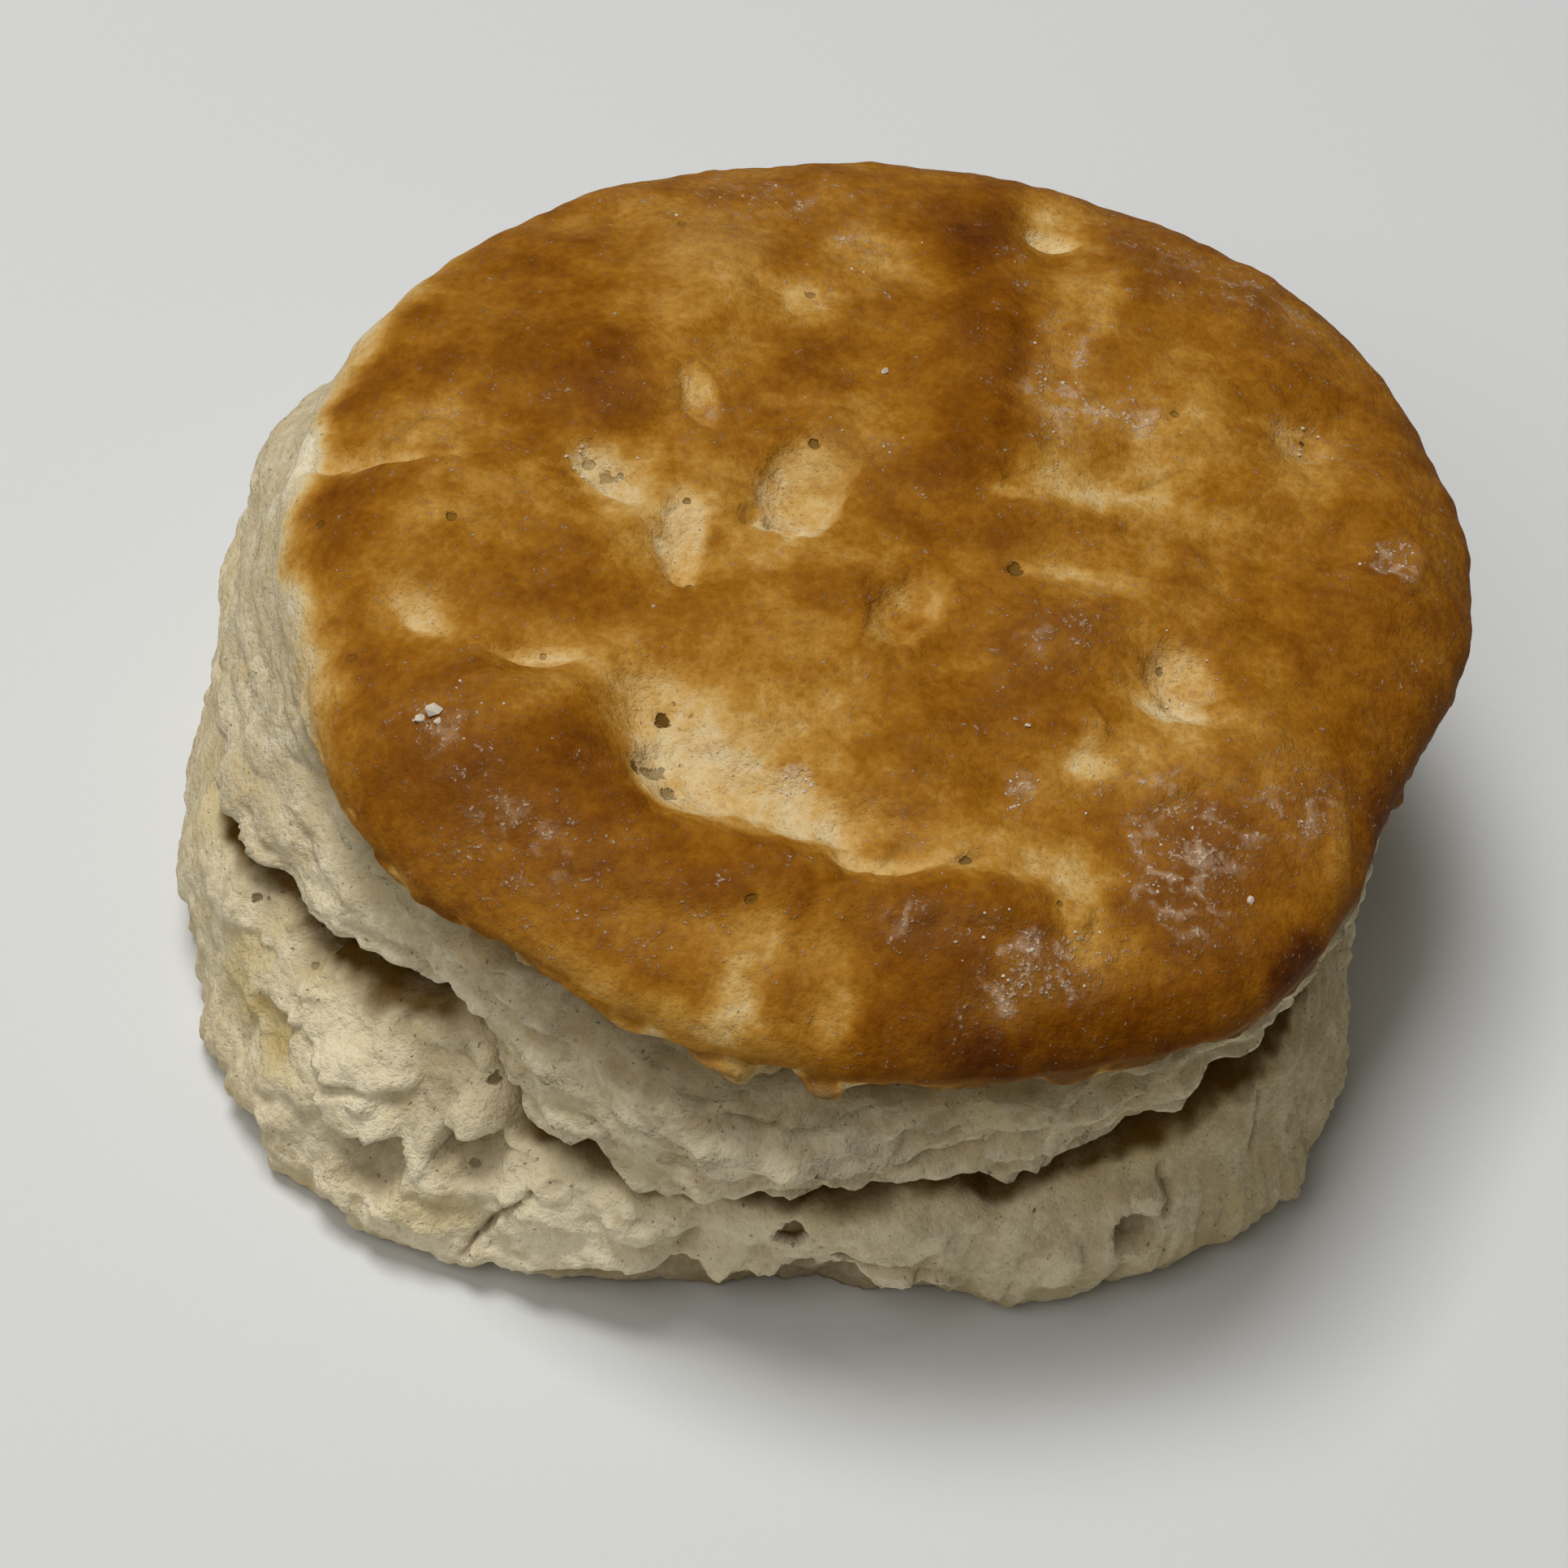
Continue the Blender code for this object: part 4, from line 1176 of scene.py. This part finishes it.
@dataclass
class DoughPiece:
    """A closed piece of the biscuit, swept round the axis in rows.

    Attributes:
        name: The object's name.
        dough: The skin that it follows.
        segments: How many points a row has.
        rows: The rows from the top pole to the bottom pole.
        strips: How many strips the side is cut into for its texture map.
        disc_share: How much of the map's width its flat face takes.
    """

    name: str
    dough: Dough
    segments: int
    rows: list[Row]
    strips: int
    disc_share: float

    def build(self, material: bpy.types.Material) -> bpy.types.Object:
        """Make the piece.

        Args:
            material: Its finish.

        Returns:
            The new object, at the origin.
        """
        mesh = self.blank()
        count = len(self.rows) - 1
        start = np.empty(len(mesh.vertices) * 3)
        mesh.vertices.foreach_get("co", start)
        start = start.reshape(-1, 3)
        angle = np.arctan2(start[:, 1], start[:, 0])
        row = np.rint(np.arccos(np.clip(start[:, 2], -1, 1)) / math.pi * count).astype(int)
        places, tones = self.place(angle, row)
        mesh.vertices.foreach_set("co", places.astype(np.float32).ravel())
        for tone in Tone:
            layer = mesh.attributes.new(tone.value, "FLOAT", "POINT")
            layer.data.foreach_set("value", np.clip(getattr(tones, tone.value), 0.0, 1.0))
        self.lay_map(mesh, angle, row, places)
        mesh.materials.append(material)
        mesh.shade_smooth()
        mesh.update()
        return placed(self.name, mesh)

    def blank(self) -> bpy.types.Mesh:
        """A unit ball with the piece's rows, rolled up from a flat grid and closed."""
        body = bmesh.new()
        bmesh.ops.create_grid(
            body, x_segments=self.segments, y_segments=len(self.rows) - 1, size=1.0
        )
        for vert in body.verts:
            turn = math.pi * vert.co.x
            fall = 0.5 * math.pi * (1.0 - vert.co.y)
            reach = math.sin(fall)
            vert.co = (reach * math.cos(turn), reach * math.sin(turn), math.cos(fall))
        bmesh.ops.remove_doubles(body, verts=body.verts, dist=1e-5)
        bmesh.ops.recalc_face_normals(body, faces=body.faces)
        return written_mesh(self.name, body)

    def place(self, angle: np.ndarray, row: np.ndarray) -> tuple[np.ndarray, Tones]:
        """Put every point on the skin.

        Args:
            angle: Angle of each point.
            row: Row number of each point.

        Returns:
            Places in metres and tones.
        """
        places = np.zeros((len(angle), 3))
        tones = Tones.plain(len(angle), 0.2)
        share = np.array([item.share for item in self.rows])[row]
        kind = np.array([item.stretch.value for item in self.rows])[row]
        for stretch in Stretch:
            chosen = kind == stretch.value
            if not chosen.any():
                continue
            found, shades = self.stretch_points(stretch, angle[chosen], share[chosen])
            places[chosen] = found
            tones.take(chosen, shades)
        return self.dough.leaned(places), tones

    def stretch_points(
        self, stretch: Stretch, angle: np.ndarray, share: np.ndarray
    ) -> tuple[np.ndarray, Tones]:
        """Points and tones of one stretch of the skin."""
        if stretch is Stretch.CROWN:
            return self.dough.crown(angle, share)
        if stretch is Stretch.WALL:
            return self.dough.wall_side(angle, share)
        if stretch is Stretch.SKIRT:
            return self.dough.skirt_side(angle, share)
        shades = Tones.plain(len(angle), 0.25)
        rim = Line.CREVICE_BACK if stretch is Stretch.INSIDE else Line.FLOOR
        radii, heights = self.dough.rings(angle)
        edge = self.dough.along(radii, np.full_like(angle, rim))
        if stretch is Stretch.BOTTOM:
            shades.brown += 0.25 * share
            return on_ring(angle, edge * share), shades
        level = self.dough.along(heights, np.full_like(angle, rim))
        level = INSIDE_HEIGHT + (level - INSIDE_HEIGHT) * ease((share - 0.5) / 0.5)
        return on_ring(angle, (edge - 0.4) * share, level), shades

    def lay_map(
        self, mesh: bpy.types.Mesh, angle: np.ndarray, row: np.ndarray, places: np.ndarray
    ) -> None:
        """Give the piece a texture map: its flat face as a disc, its side as long strips.

        Args:
            mesh: The piece's mesh.
            angle: Angle of each point.
            row: Row number of each point.
            places: Places of the points in metres.
        """
        loops = len(mesh.loops)
        corner = np.empty(loops, dtype=int)
        mesh.loops.foreach_get("vertex_index", corner)
        sizes = np.empty(len(mesh.polygons), dtype=int)
        mesh.polygons.foreach_get("loop_total", sizes)
        face = np.repeat(np.arange(len(sizes)), sizes)
        length = self.profile_lengths(row, places)
        is_pole = (row == 0) | (row == len(self.rows) - 1)
        turn = np.exp(1j * angle[corner]) * ~is_pole[corner]
        middle = np.angle(np.bincount(face, turn.real) + 1j * np.bincount(face, turn.imag))[face]
        apart = (angle[corner] - middle + math.pi) % FULL_TURN - math.pi
        apart[is_pole[corner]] = 0.0
        around = middle + apart
        first = np.full(len(sizes), len(self.rows))
        np.minimum.at(first, face, row[corner])
        first = first[face]
        uv = np.zeros((loops, 2))
        strip_size = self.strip_layout()
        for block, (low, high) in self.blocks().items():
            chosen = (first >= low) & (first < high)
            start, end = length[low], length[high]
            along = length[row[corner]]
            if block == "side":
                share = (middle + math.pi) / FULL_TURN * self.strips
                strip = np.clip(np.floor(share), 0, self.strips - 1)
                u = 0.01 + 0.98 * ((around + math.pi) / FULL_TURN * self.strips - strip)
                v = (strip_size - 2.0 * MAP_GAP) * (end - along) / (end - start)
                v = MAP_GAP + strip * strip_size + v
                uv[chosen] = np.stack([u, v], axis=1)[chosen]
                continue
            is_top = low == 0
            span = (along - start) / (end - start) if is_top else (end - along) / (end - start)
            facing = 1.0 if is_top else -1.0
            main = block == "face"
            radius = (0.5 * self.disc_share if main else 0.07) * span
            across = 0.5 * self.disc_share + MAP_GAP if main else self.disc_share + 0.09
            above = 0.994 - (0.5 * self.disc_share if main else 0.075)
            shift = np.stack([np.cos(around), facing * np.sin(around)], axis=1) * radius[:, None]
            uv[chosen] = (np.array([across, above]) + shift)[chosen]
        layer = mesh.uv_layers.new(name="OFBake")
        layer.data.foreach_set("uv", uv.astype(np.float32).ravel())
        mesh.uv_layers.active = layer
        layer.active_render = True

    def profile_lengths(self, row: np.ndarray, places: np.ndarray) -> np.ndarray:
        """Mean distance along the skin from the top pole to each row."""
        centre = np.zeros((len(self.rows), 2))
        reach = np.hypot(places[:, 0], places[:, 1])
        number = np.bincount(row, minlength=len(self.rows))
        centre[:, 0] = np.bincount(row, reach, len(self.rows)) / number
        centre[:, 1] = np.bincount(row, places[:, 2], len(self.rows)) / number
        steps = np.hypot(*np.diff(centre, axis=0).T)
        return np.concatenate([[0.0], np.cumsum(np.maximum(steps, 1e-6))])

    def strip_layout(self) -> float:
        """Height of one strip of the side on the map."""
        return (1.0 - self.disc_share - 0.02) / self.strips

    def blocks(self) -> dict[str, tuple[int, int]]:
        """Which rows of faces go on the disc, the strips and the small hidden disc."""
        kinds = [item.stretch for item in self.rows]
        last = len(self.rows) - 1
        if Stretch.CROWN in kinds:
            turn = next(i for i, item in enumerate(self.rows)
                        if item.stretch is Stretch.WALL and item.share >= Line.UNDER_CRUST)
            hidden = kinds.index(Stretch.INSIDE)
            return {"face": (0, turn), "side": (turn, hidden), "hidden": (hidden, last)}
        side = kinds.index(Stretch.SKIRT)
        under = kinds.index(Stretch.BOTTOM)
        return {"hidden": (0, side), "side": (side, under), "face": (under, last)}


def spaced_rows(stretch: Stretch, first: Line, counts: Iterable[int]) -> list[Row]:
    """Rows between the lines of the side.

    Args:
        stretch: The stretch that they lie on.
        first: The line that they start at.
        counts: Number of rows from each line to the next.

    Returns:
        The rows in order, without the last line.
    """
    return [
        Row(stretch, line + step / count)
        for line, count in enumerate(counts, first)
        for step in range(count)
    ]


def upper_rows() -> list[Row]:
    """Rows of the crown with the upper wall, closed by a hidden floor."""
    crown = []
    for step in range(CROWN_ROWS):
        share = step / CROWN_ROWS
        crown.append(Row(Stretch.CROWN, share + 0.07 * math.sin(math.pi * share)))
    wall = spaced_rows(Stretch.WALL, Line.CRUST_EDGE, (9, 9, 12, 14, 5, 4))
    floor = [Row(Stretch.INSIDE, share) for share in (1.0, 0.6, 0.3, 0.0)]
    return crown + [Row(Stretch.CROWN, 0.9995)] + wall[1:] + floor


def lower_rows() -> list[Row]:
    """Rows of the skirt with the bottom, closed by a hidden top."""
    lid = [Row(Stretch.INSIDE, share) for share in (0.0, 0.3, 0.6, 0.97)]
    skirt = spaced_rows(Stretch.SKIRT, Line.CREVICE_BACK, (7, 22, 20, 18, 14, 8, 4))
    bottom = [Row(Stretch.BOTTOM, share) for share in (1.0, 0.9, 0.7, 0.45, 0.2, 0.0)]
    return lid + skirt + bottom


@dataclass
class Crumbs:
    """Loose flour grains and crumbs on the crown.

    Attributes:
        dough: The skin that they lie on.
        grains: How many small grains there are.
        large: Place and size of each larger crumb.
    """

    dough: Dough
    grains: int = 130
    large: tuple[tuple[float, float, float], ...] = (
        (-26.0, -20.8, 0.62),
        (-26.6, -21.2, 0.36),
        (-25.6, -21.6, 0.26),
        (-3.0, 12.1, 0.34),
        (23.4, -23.7, 0.28),
        (8.6, -15.2, 0.24),
    )

    def build(self, material: bpy.types.Material) -> bpy.types.Object:
        """Make all crumbs as one object.

        Args:
            material: Their finish.

        Returns:
            The new object, at the origin.
        """
        maker = np.random.default_rng(Grain.CRUMBS)
        body = bmesh.new()
        for x, y, size in self.large:
            self.add_crumb(body, maker, (x, y), size)
        floury = [mark for mark in CROWN_MARKS.values() if mark.flour >= 0.3]
        for _ in range(self.grains):
            mark = floury[int(maker.integers(len(floury)))]
            spread = maker.normal(size=2) * 0.6
            spot = (mark.x + mark.wide * spread[0], mark.y + mark.long * spread[1])
            if math.hypot(*spot) < CRUMB_REACH:
                self.add_crumb(body, maker, spot, float(maker.uniform(0.07, 0.15)))
        mesh = written_mesh("flour_crumbs", body)
        mesh.materials.append(material)
        return placed("flour_crumbs", mesh)

    def add_crumb(
        self,
        body: bmesh.types.BMesh,
        maker: np.random.Generator,
        spot: tuple[float, float],
        size: float,
    ) -> None:
        """Lay one uneven crumb on the crown.

        Args:
            body: The mesh that it joins.
            maker: Source of its unevenness.
            spot: Place across and along the crown.
            size: Its radius.
        """
        place = self.dough.crown_spot(*spot)
        turn = Matrix.Rotation(float(maker.uniform(0, FULL_TURN)), 4, "Z")
        stretch = Matrix.Diagonal((1.0, float(maker.uniform(0.6, 0.9)), 0.6, 1.0))
        lifted = Matrix.Translation(place + Vector((0, 0, 0.3 * size * MILLIMETRE)))
        scale = Matrix.Scale(size * MILLIMETRE, 4)
        made = bmesh.ops.create_icosphere(
            body, subdivisions=1, radius=1.0, matrix=lifted @ turn @ stretch @ scale
        )
        for vert in made["verts"]:
            vert.co += Vector(maker.uniform(-0.22, 0.22, 3)) * size * MILLIMETRE


class Value:
    """A socket that carries a number, with arithmetic that adds Math nodes."""

    def __init__(self, finish: "Finish", socket: bpy.types.NodeSocket) -> None:
        """Wrap a socket of a finish."""
        self.finish = finish
        self.socket = socket

    def _math(self, kind: str, *others: "Value | float", first: "Value | float | None" = None
              ) -> "Value":
        """Add one Math node.

        Args:
            kind: Its operation.
            others: Its later inputs.
            first: Its first input, where that isn't this value.

        Returns:
            The node's result.
        """
        inputs = dict(enumerate((self if first is None else first, *others)))
        return self.finish.value("ShaderNodeMath", {"operation": kind}, inputs)

    def __add__(self, other: "Value | float") -> "Value":
        """Sum."""
        return self._math("ADD", other)

    __radd__ = __add__

    def __mul__(self, other: "Value | float") -> "Value":
        """Product."""
        return self._math("MULTIPLY", other)

    __rmul__ = __mul__

    def __sub__(self, other: "Value | float") -> "Value":
        """Difference."""
        return self._math("SUBTRACT", other)

    def __rsub__(self, other: float) -> "Value":
        """Difference from a number."""
        return self._math("SUBTRACT", self, first=other)

    def __truediv__(self, other: "Value | float") -> "Value":
        """Quotient."""
        return self._math("DIVIDE", other)

    def maximum(self, other: "Value | float") -> "Value":
        """The larger of two."""
        return self._math("MAXIMUM", other)

    def apart(self, other: float) -> "Value":
        """Distance from a number."""
        return (self - other)._math("ABSOLUTE")

    def stepped(self, low: float, high: float) -> "Value":
        """Smooth step from 0 at low to 1 at high."""
        settings = {"interpolation_type": "SMOOTHSTEP"}
        inputs = {"Value": self, "From Min": low, "From Max": high, "To Min": 0.0, "To Max": 1.0}
        return self.finish.value("ShaderNodeMapRange", settings, inputs)


class Finish:
    """A node material under construction."""

    def __init__(self, name: str) -> None:
        """Start a material with an empty Principled surface."""
        self.material = bpy.data.materials.new(name)
        self.material.use_nodes = True
        self.nodes = self.material.node_tree.nodes
        self.links = self.material.node_tree.links
        self.surface = self.nodes["Principled BSDF"]

    def node(self, kind: str, settings: dict, inputs: dict) -> bpy.types.Node:
        """Add a node.

        Args:
            kind: The node's type.
            settings: Its properties; "stops" holds a ramp's places and colours.
            inputs: Values or links of its sockets, by name or number.

        Returns:
            The node.
        """
        made = self.nodes.new(kind)
        for key, setting in settings.items():
            if key == "stops":
                self.set_ramp(made.color_ramp, setting)
            else:
                setattr(made, key, setting)
        for key, given in inputs.items():
            self.feed(made.inputs[key], given)
        return made

    def feed(self, socket: bpy.types.NodeSocket, given: object) -> None:
        """Link or set one input socket."""
        if isinstance(given, Value):
            self.links.new(given.socket, socket)
        elif isinstance(given, bpy.types.NodeSocket):
            self.links.new(given, socket)
        else:
            socket.default_value = given

    def value(self, kind: str, settings: dict, inputs: dict, output: int | str = 0) -> Value:
        """Add a node and wrap one of its outputs."""
        return Value(self, self.node(kind, settings, inputs).outputs[output])

    @staticmethod
    def set_ramp(ramp: bpy.types.ColorRamp, stops: tuple) -> None:
        """Set a ramp's stops from places and colours."""
        while len(ramp.elements) < len(stops):
            ramp.elements.new(0.5)
        for element, (place, _) in zip(ramp.elements, stops):
            element.position = place
        for element, (_, colour) in zip(ramp.elements, stops):
            element.color = (*colour, 1.0)

    def tone(self, tone: Tone) -> Value:
        """A value that the skin carries."""
        return self.value("ShaderNodeAttribute", {"attribute_name": tone.value}, {}, "Fac")

    def place(self) -> bpy.types.NodeSocket:
        """Object coordinates."""
        return self.node("ShaderNodeTexCoord", {}, {}).outputs["Object"]

    def grain(self, place: bpy.types.NodeSocket, size: float, detail: float = 3.0,
              rough: float = 0.55) -> Value:
        """Noise of 0 to 1 with lumps of a size in millimetres."""
        inputs = {"Vector": place, "Scale": 1.0 / (size * MILLIMETRE), "Detail": detail,
                  "Roughness": rough}
        return self.value("ShaderNodeTexNoise", {}, inputs, "Fac")

    def blend(self, share: "Value | float", first: object, second: object,
              way: str = "MIX") -> bpy.types.NodeSocket:
        """Mix two colours."""
        settings = {"data_type": "RGBA", "blend_type": way, "clamp_factor": True}
        made = self.node("ShaderNodeMix", settings, {0: share})
        self.feed(made.inputs[6], first)
        self.feed(made.inputs[7], second)
        return made.outputs[2]


@dataclass(frozen=True)
class BakedDough:
    """The dough's finish, from raw and pale to browned, with flour, pores and pinholes, and
    painted shade in pores, holes, cracks and the crevice.

    Attributes:
        dough: The skin that it lies on.
        shades: Colours of the dough, from raw at 0 to darkest brown at 1.
        flour_colour: Colour of flour that lies on it.
        moist_and_shade_colour: Colour of its moist yellow parts, and of the warm painted shade at
            the right and under the shelf.
        dull_colour: Colour of its dry patches.
        painted_shade_colour: Colour of the painted shade in pores, holes, cracks, creases, the
            neck and the crevice.
    """

    dough: Dough
    shades: tuple[tuple[float, tuple[float, float, float]], ...] = (
        # The palest stop is reached by the painted highlights on the side's raised parts and on
        # the front of the skirt.
        (0.00, (0.910, 0.800, 0.560)),
        (0.08, (0.710, 0.598, 0.382)),
        (0.17, (0.740, 0.570, 0.300)),
        (0.28, (0.640, 0.400, 0.130)),
        (0.42, (0.480, 0.236, 0.036)),
        (0.56, (0.340, 0.136, 0.009)),
        (0.70, (0.235, 0.079, 0.003)),
        (0.84, (0.160, 0.046, 0.001)),
        (1.00, (0.090, 0.021, 0.001)),
    )
    flour_colour: Colour = (0.66, 0.48, 0.32, 1.0)
    moist_and_shade_colour: Colour = (0.66, 0.50, 0.20, 1.0)
    dull_colour: Colour = (0.58, 0.47, 0.29, 1.0)
    painted_shade_colour: Colour = (0.13, 0.066, 0.010, 1.0)

    def build(self) -> bpy.types.Material:
        """Make the material."""
        finish = Finish("baked_dough")
        place = finish.place()
        brown = finish.tone(Tone.BROWN)
        coarse = finish.grain(place, 2.4, 5.0, 0.6)
        fine = finish.grain(place, 0.6, 4.0, 0.65)
        speck = finish.grain(place, 0.22, 2.0)
        crusty = brown.stepped(0.12, 0.45)
        toned = brown + (coarse - 0.5) * (0.26 + 0.12 * crusty)
        toned = toned + (fine - 0.5) * (0.14 + 0.08 * crusty)
        ramp = finish.node("ShaderNodeValToRGB", {"stops": self.shades}, {0: toned})
        pinholes = self.pinholes(finish, place)
        floury = self.floury(finish, place, fine) * (0.15 + 0.85 * crusty)
        colour = finish.blend(finish.tone(Tone.WARM) * (0.6 + 0.6 * coarse), ramp.outputs[0],
                              self.moist_and_shade_colour)
        colour = finish.blend(floury, colour, self.flour_colour)
        dull = finish.grain(place, 1.3, 4.0, 0.7).stepped(0.50, 0.76) * (1.0 - crusty)
        colour = finish.blend(0.4 * dull, colour, self.dull_colour)
        # Painted shade: pores, pinholes and the deep tone darken the colour towards
        # painted_shade_colour.
        pores = finish.grain(place, 0.42, 2.0).stepped(0.68, 0.80) * (1.0 - 0.8 * crusty)
        deep = (finish.tone(Tone.PAINTED_SHADE) * (0.8 + 0.4 * coarse)).maximum(pinholes) + 0.15 * pores
        colour = finish.blend(deep, colour, self.painted_shade_colour)
        finish.feed(finish.surface.inputs["Base Color"], colour)
        finish.feed(finish.surface.inputs["Roughness"], 0.85 - 0.25 * crusty + 0.15 * floury)
        finish.surface.inputs["Specular IOR Level"].default_value = 0.03
        height = fine * (1.0 - 0.55 * crusty) + speck * 0.12 + coarse * 0.8 - pinholes * 0.5
        height = height - pores * 0.8
        bump = finish.node(
            "ShaderNodeBump",
            {},
            {"Strength": 0.9, "Distance": 0.00035, "Height": height + floury * 0.3},
        )
        finish.feed(finish.surface.inputs["Normal"], bump.outputs[0])
        return finish.material

    def floury(self, finish: Finish, place: bpy.types.NodeSocket, fine: Value) -> Value:
        """How thickly flour lies: a faint veil, fine grains and thin scratched lines."""
        flour = finish.tone(Tone.FLOUR)
        grains = finish.grain(place, 0.30, 3.0, 0.6)
        clumps = finish.grain(place, 1.5, 4.0, 0.65)
        lines = 1.0 - finish.grain(place, 5.5, 2.5, 0.6).apart(0.5) * 22.0
        dusty = (grains + clumps * 0.6 + flour * 0.20).stepped(0.95, 1.10)
        scratched = lines.maximum(0.0) * (clumps + flour * 0.2).stepped(0.52, 0.66)
        veil = flour * 0.12 * clumps
        return veil + 0.55 * dusty + 0.45 * scratched * flour.stepped(0.25, 0.6)

    def pinholes(self, finish: Finish, place: bpy.types.NodeSocket) -> Value:
        """Painted shade inside round holes at their named places."""
        found = [(self.dough.crown_spot(x, y), radius, dark)
                 for x, y, radius, dark in CROWN_PINHOLES.values()]
        found += [(self.dough.skirt_spot(turn, level), radius, dark)
                  for turn, level, radius, dark in SKIRT_PINHOLES.values()]
        wobble = finish.grain(place, 0.6, 2.0) - 0.5
        total: Value | None = None
        for spot, radius, dark in found:
            gap = finish.value("ShaderNodeVectorMath", {"operation": "DISTANCE"},
                               {0: place, 1: tuple(spot)}, "Value")
            reach = gap / (radius * MILLIMETRE) + 2.6 * wobble
            hole = (1.0 - reach.stepped(0.75, 1.25)) * dark
            total = hole if total is None else total.maximum(hole)
        return total


@dataclass(frozen=True)
class DryFlour:
    """The finish of loose flour grains and crumbs.

    Attributes:
        colour: Colour of the flour.
    """

    colour: Colour = (0.72, 0.62, 0.50, 1.0)

    def build(self) -> bpy.types.Material:
        """Make the material."""
        finish = Finish("dry_flour")
        grain = finish.grain(finish.place(), 0.3, 2.0)
        colour = finish.blend(grain, self.colour, tuple(0.82 * part for part in self.colour[:3])
                              + (1.0,))
        finish.feed(finish.surface.inputs["Base Color"], colour)
        finish.surface.inputs["Roughness"].default_value = 0.9
        return finish.material


@dataclass(frozen=True)
class Studio:
    """The pale floor, the soft light and the camera.

    Attributes:
        floor_colour: Colour of the floor.
        lamps: Name, place, width and power of each lamp.
        fill_strength: Strength of the even light from all round.
        distance: How far the camera is from the point that it looks at, in metres.
        elevation: How steeply it looks down, in degrees.
        roll: How far it is turned about its line of sight, in degrees.
        aim: The point that it looks at, in metres.
        frame_pixels: Width of the photograph.
        focal_pixels: The camera's focal length in pixels of the photograph.
        sensor: Width of its sensor, in millimetres.
    """

    floor_colour: Colour = (0.74, 0.75, 0.745, 1.0)
    lamps: tuple[tuple[str, tuple[float, float, float], float, float], ...] = (
        ("key_lamp", (-0.200, 0.090, 0.870), 0.34, 5.2),
        ("front_lamp", (-0.300, -0.420, 0.740), 0.50, 1.75),
    )
    fill_strength: float = 0.09
    distance: float = 0.300
    elevation: float = 50.5
    roll: float = 9.3
    aim: tuple[float, float, float] = (0.0011, -0.0090, 0.0180)
    frame_pixels: float = 1932.0
    focal_pixels: float = 5880.0
    sensor: float = 36.0

    def build(self) -> None:
        """Lay the floor, hang the lights and set the camera."""
        self.floor()
        self.light()
        self.camera()

    def floor(self) -> None:
        """A broad matt floor just under the biscuit."""
        body = bmesh.new()
        bmesh.ops.create_grid(body, x_segments=1, y_segments=1, size=1.6,
                              matrix=Matrix.Translation((0, 0, -0.00005)))
        mesh = written_mesh("floor", body)
        finish = Finish("pale_floor")
        grain = finish.grain(finish.place(), 0.5, 2.0)
        darker = tuple(0.975 * part for part in self.floor_colour[:3]) + (1.0,)
        finish.feed(finish.surface.inputs["Base Color"],
                    finish.blend(grain, self.floor_colour, darker))
        finish.surface.inputs["Roughness"].default_value = 0.75
        finish.surface.inputs["Specular IOR Level"].default_value = 0.2
        mesh.materials.append(finish.material)
        floor = placed("floor", mesh)

    def light(self) -> None:
        """A high lamp at the back left, a weaker one in front, and an even fill."""
        for name, place, size, power in self.lamps:
            self.hang_lamp(name, place, size, power)
        world = bpy.data.worlds.new("fill")
        world.use_nodes = True
        world.node_tree.nodes["Background"].inputs[0].default_value = (1.0, 0.95, 0.86, 1.0)
        world.node_tree.nodes["Background"].inputs[1].default_value = self.fill_strength
        bpy.context.scene.world = world
        bpy.context.scene.view_settings.view_transform = "Standard"

    @staticmethod
    def hang_lamp(name: str, place: tuple[float, float, float], size: float, power: float) -> None:
        """Hang a square lamp that faces the biscuit.

        Args:
            name: The lamp's name.
            place: Where it hangs, in metres.
            size: How wide it is.
            power: How strong it is, in watts.
        """
        lamp = bpy.data.lights.new(name, "AREA")
        lamp.shape = "SQUARE"
        lamp.size = size
        lamp.energy = power
        facing = Vector(place).to_track_quat("Z", "Y").to_matrix().to_4x4()
        placed(name, lamp).matrix_world = Matrix.Translation(place) @ facing

    def camera(self) -> None:
        """A camera above the front, rolled as the photograph's is."""
        lens = bpy.data.cameras.new("camera")
        lens.sensor_width = self.sensor
        lens.lens = self.focal_pixels / self.frame_pixels * self.sensor
        lens.clip_start = 0.01
        item = placed("camera", lens)
        tilt = Matrix.Rotation(math.radians(90.0 - self.elevation), 4, "X")
        roll = Matrix.Rotation(math.radians(self.roll), 4, "Z")
        back = Matrix.Translation((0.0, 0.0, self.distance))
        item.matrix_world = Matrix.Translation(self.aim) @ tilt @ roll @ back
        bpy.context.scene.camera = item


def main() -> None:
    """Build the biscuit and its surroundings, and report each piece."""
    logging.basicConfig(level=logging.INFO, format="%(name)s: %(message)s")
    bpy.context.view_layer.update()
    dough = Dough()
    finish = BakedDough(dough).build()
    upper = DoughPiece("crown_and_wall", dough, UPPER_SEGMENTS, upper_rows(), 2, 0.73)
    lower = DoughPiece("skirt_and_bottom", dough, LOWER_SEGMENTS, lower_rows(), 3, 0.42)
    for maker, material in ((upper, finish), (lower, finish), (Crumbs(dough), DryFlour().build())):
        piece = maker.build(material)
        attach(piece, "root")
        if isinstance(maker, DoughPiece):
            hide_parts("biscuit")
        LOG.info("%s: %d faces", piece.name, len(piece.data.polygons))
    Studio().build()
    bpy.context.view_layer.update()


if __name__ == "__main__":
    main()
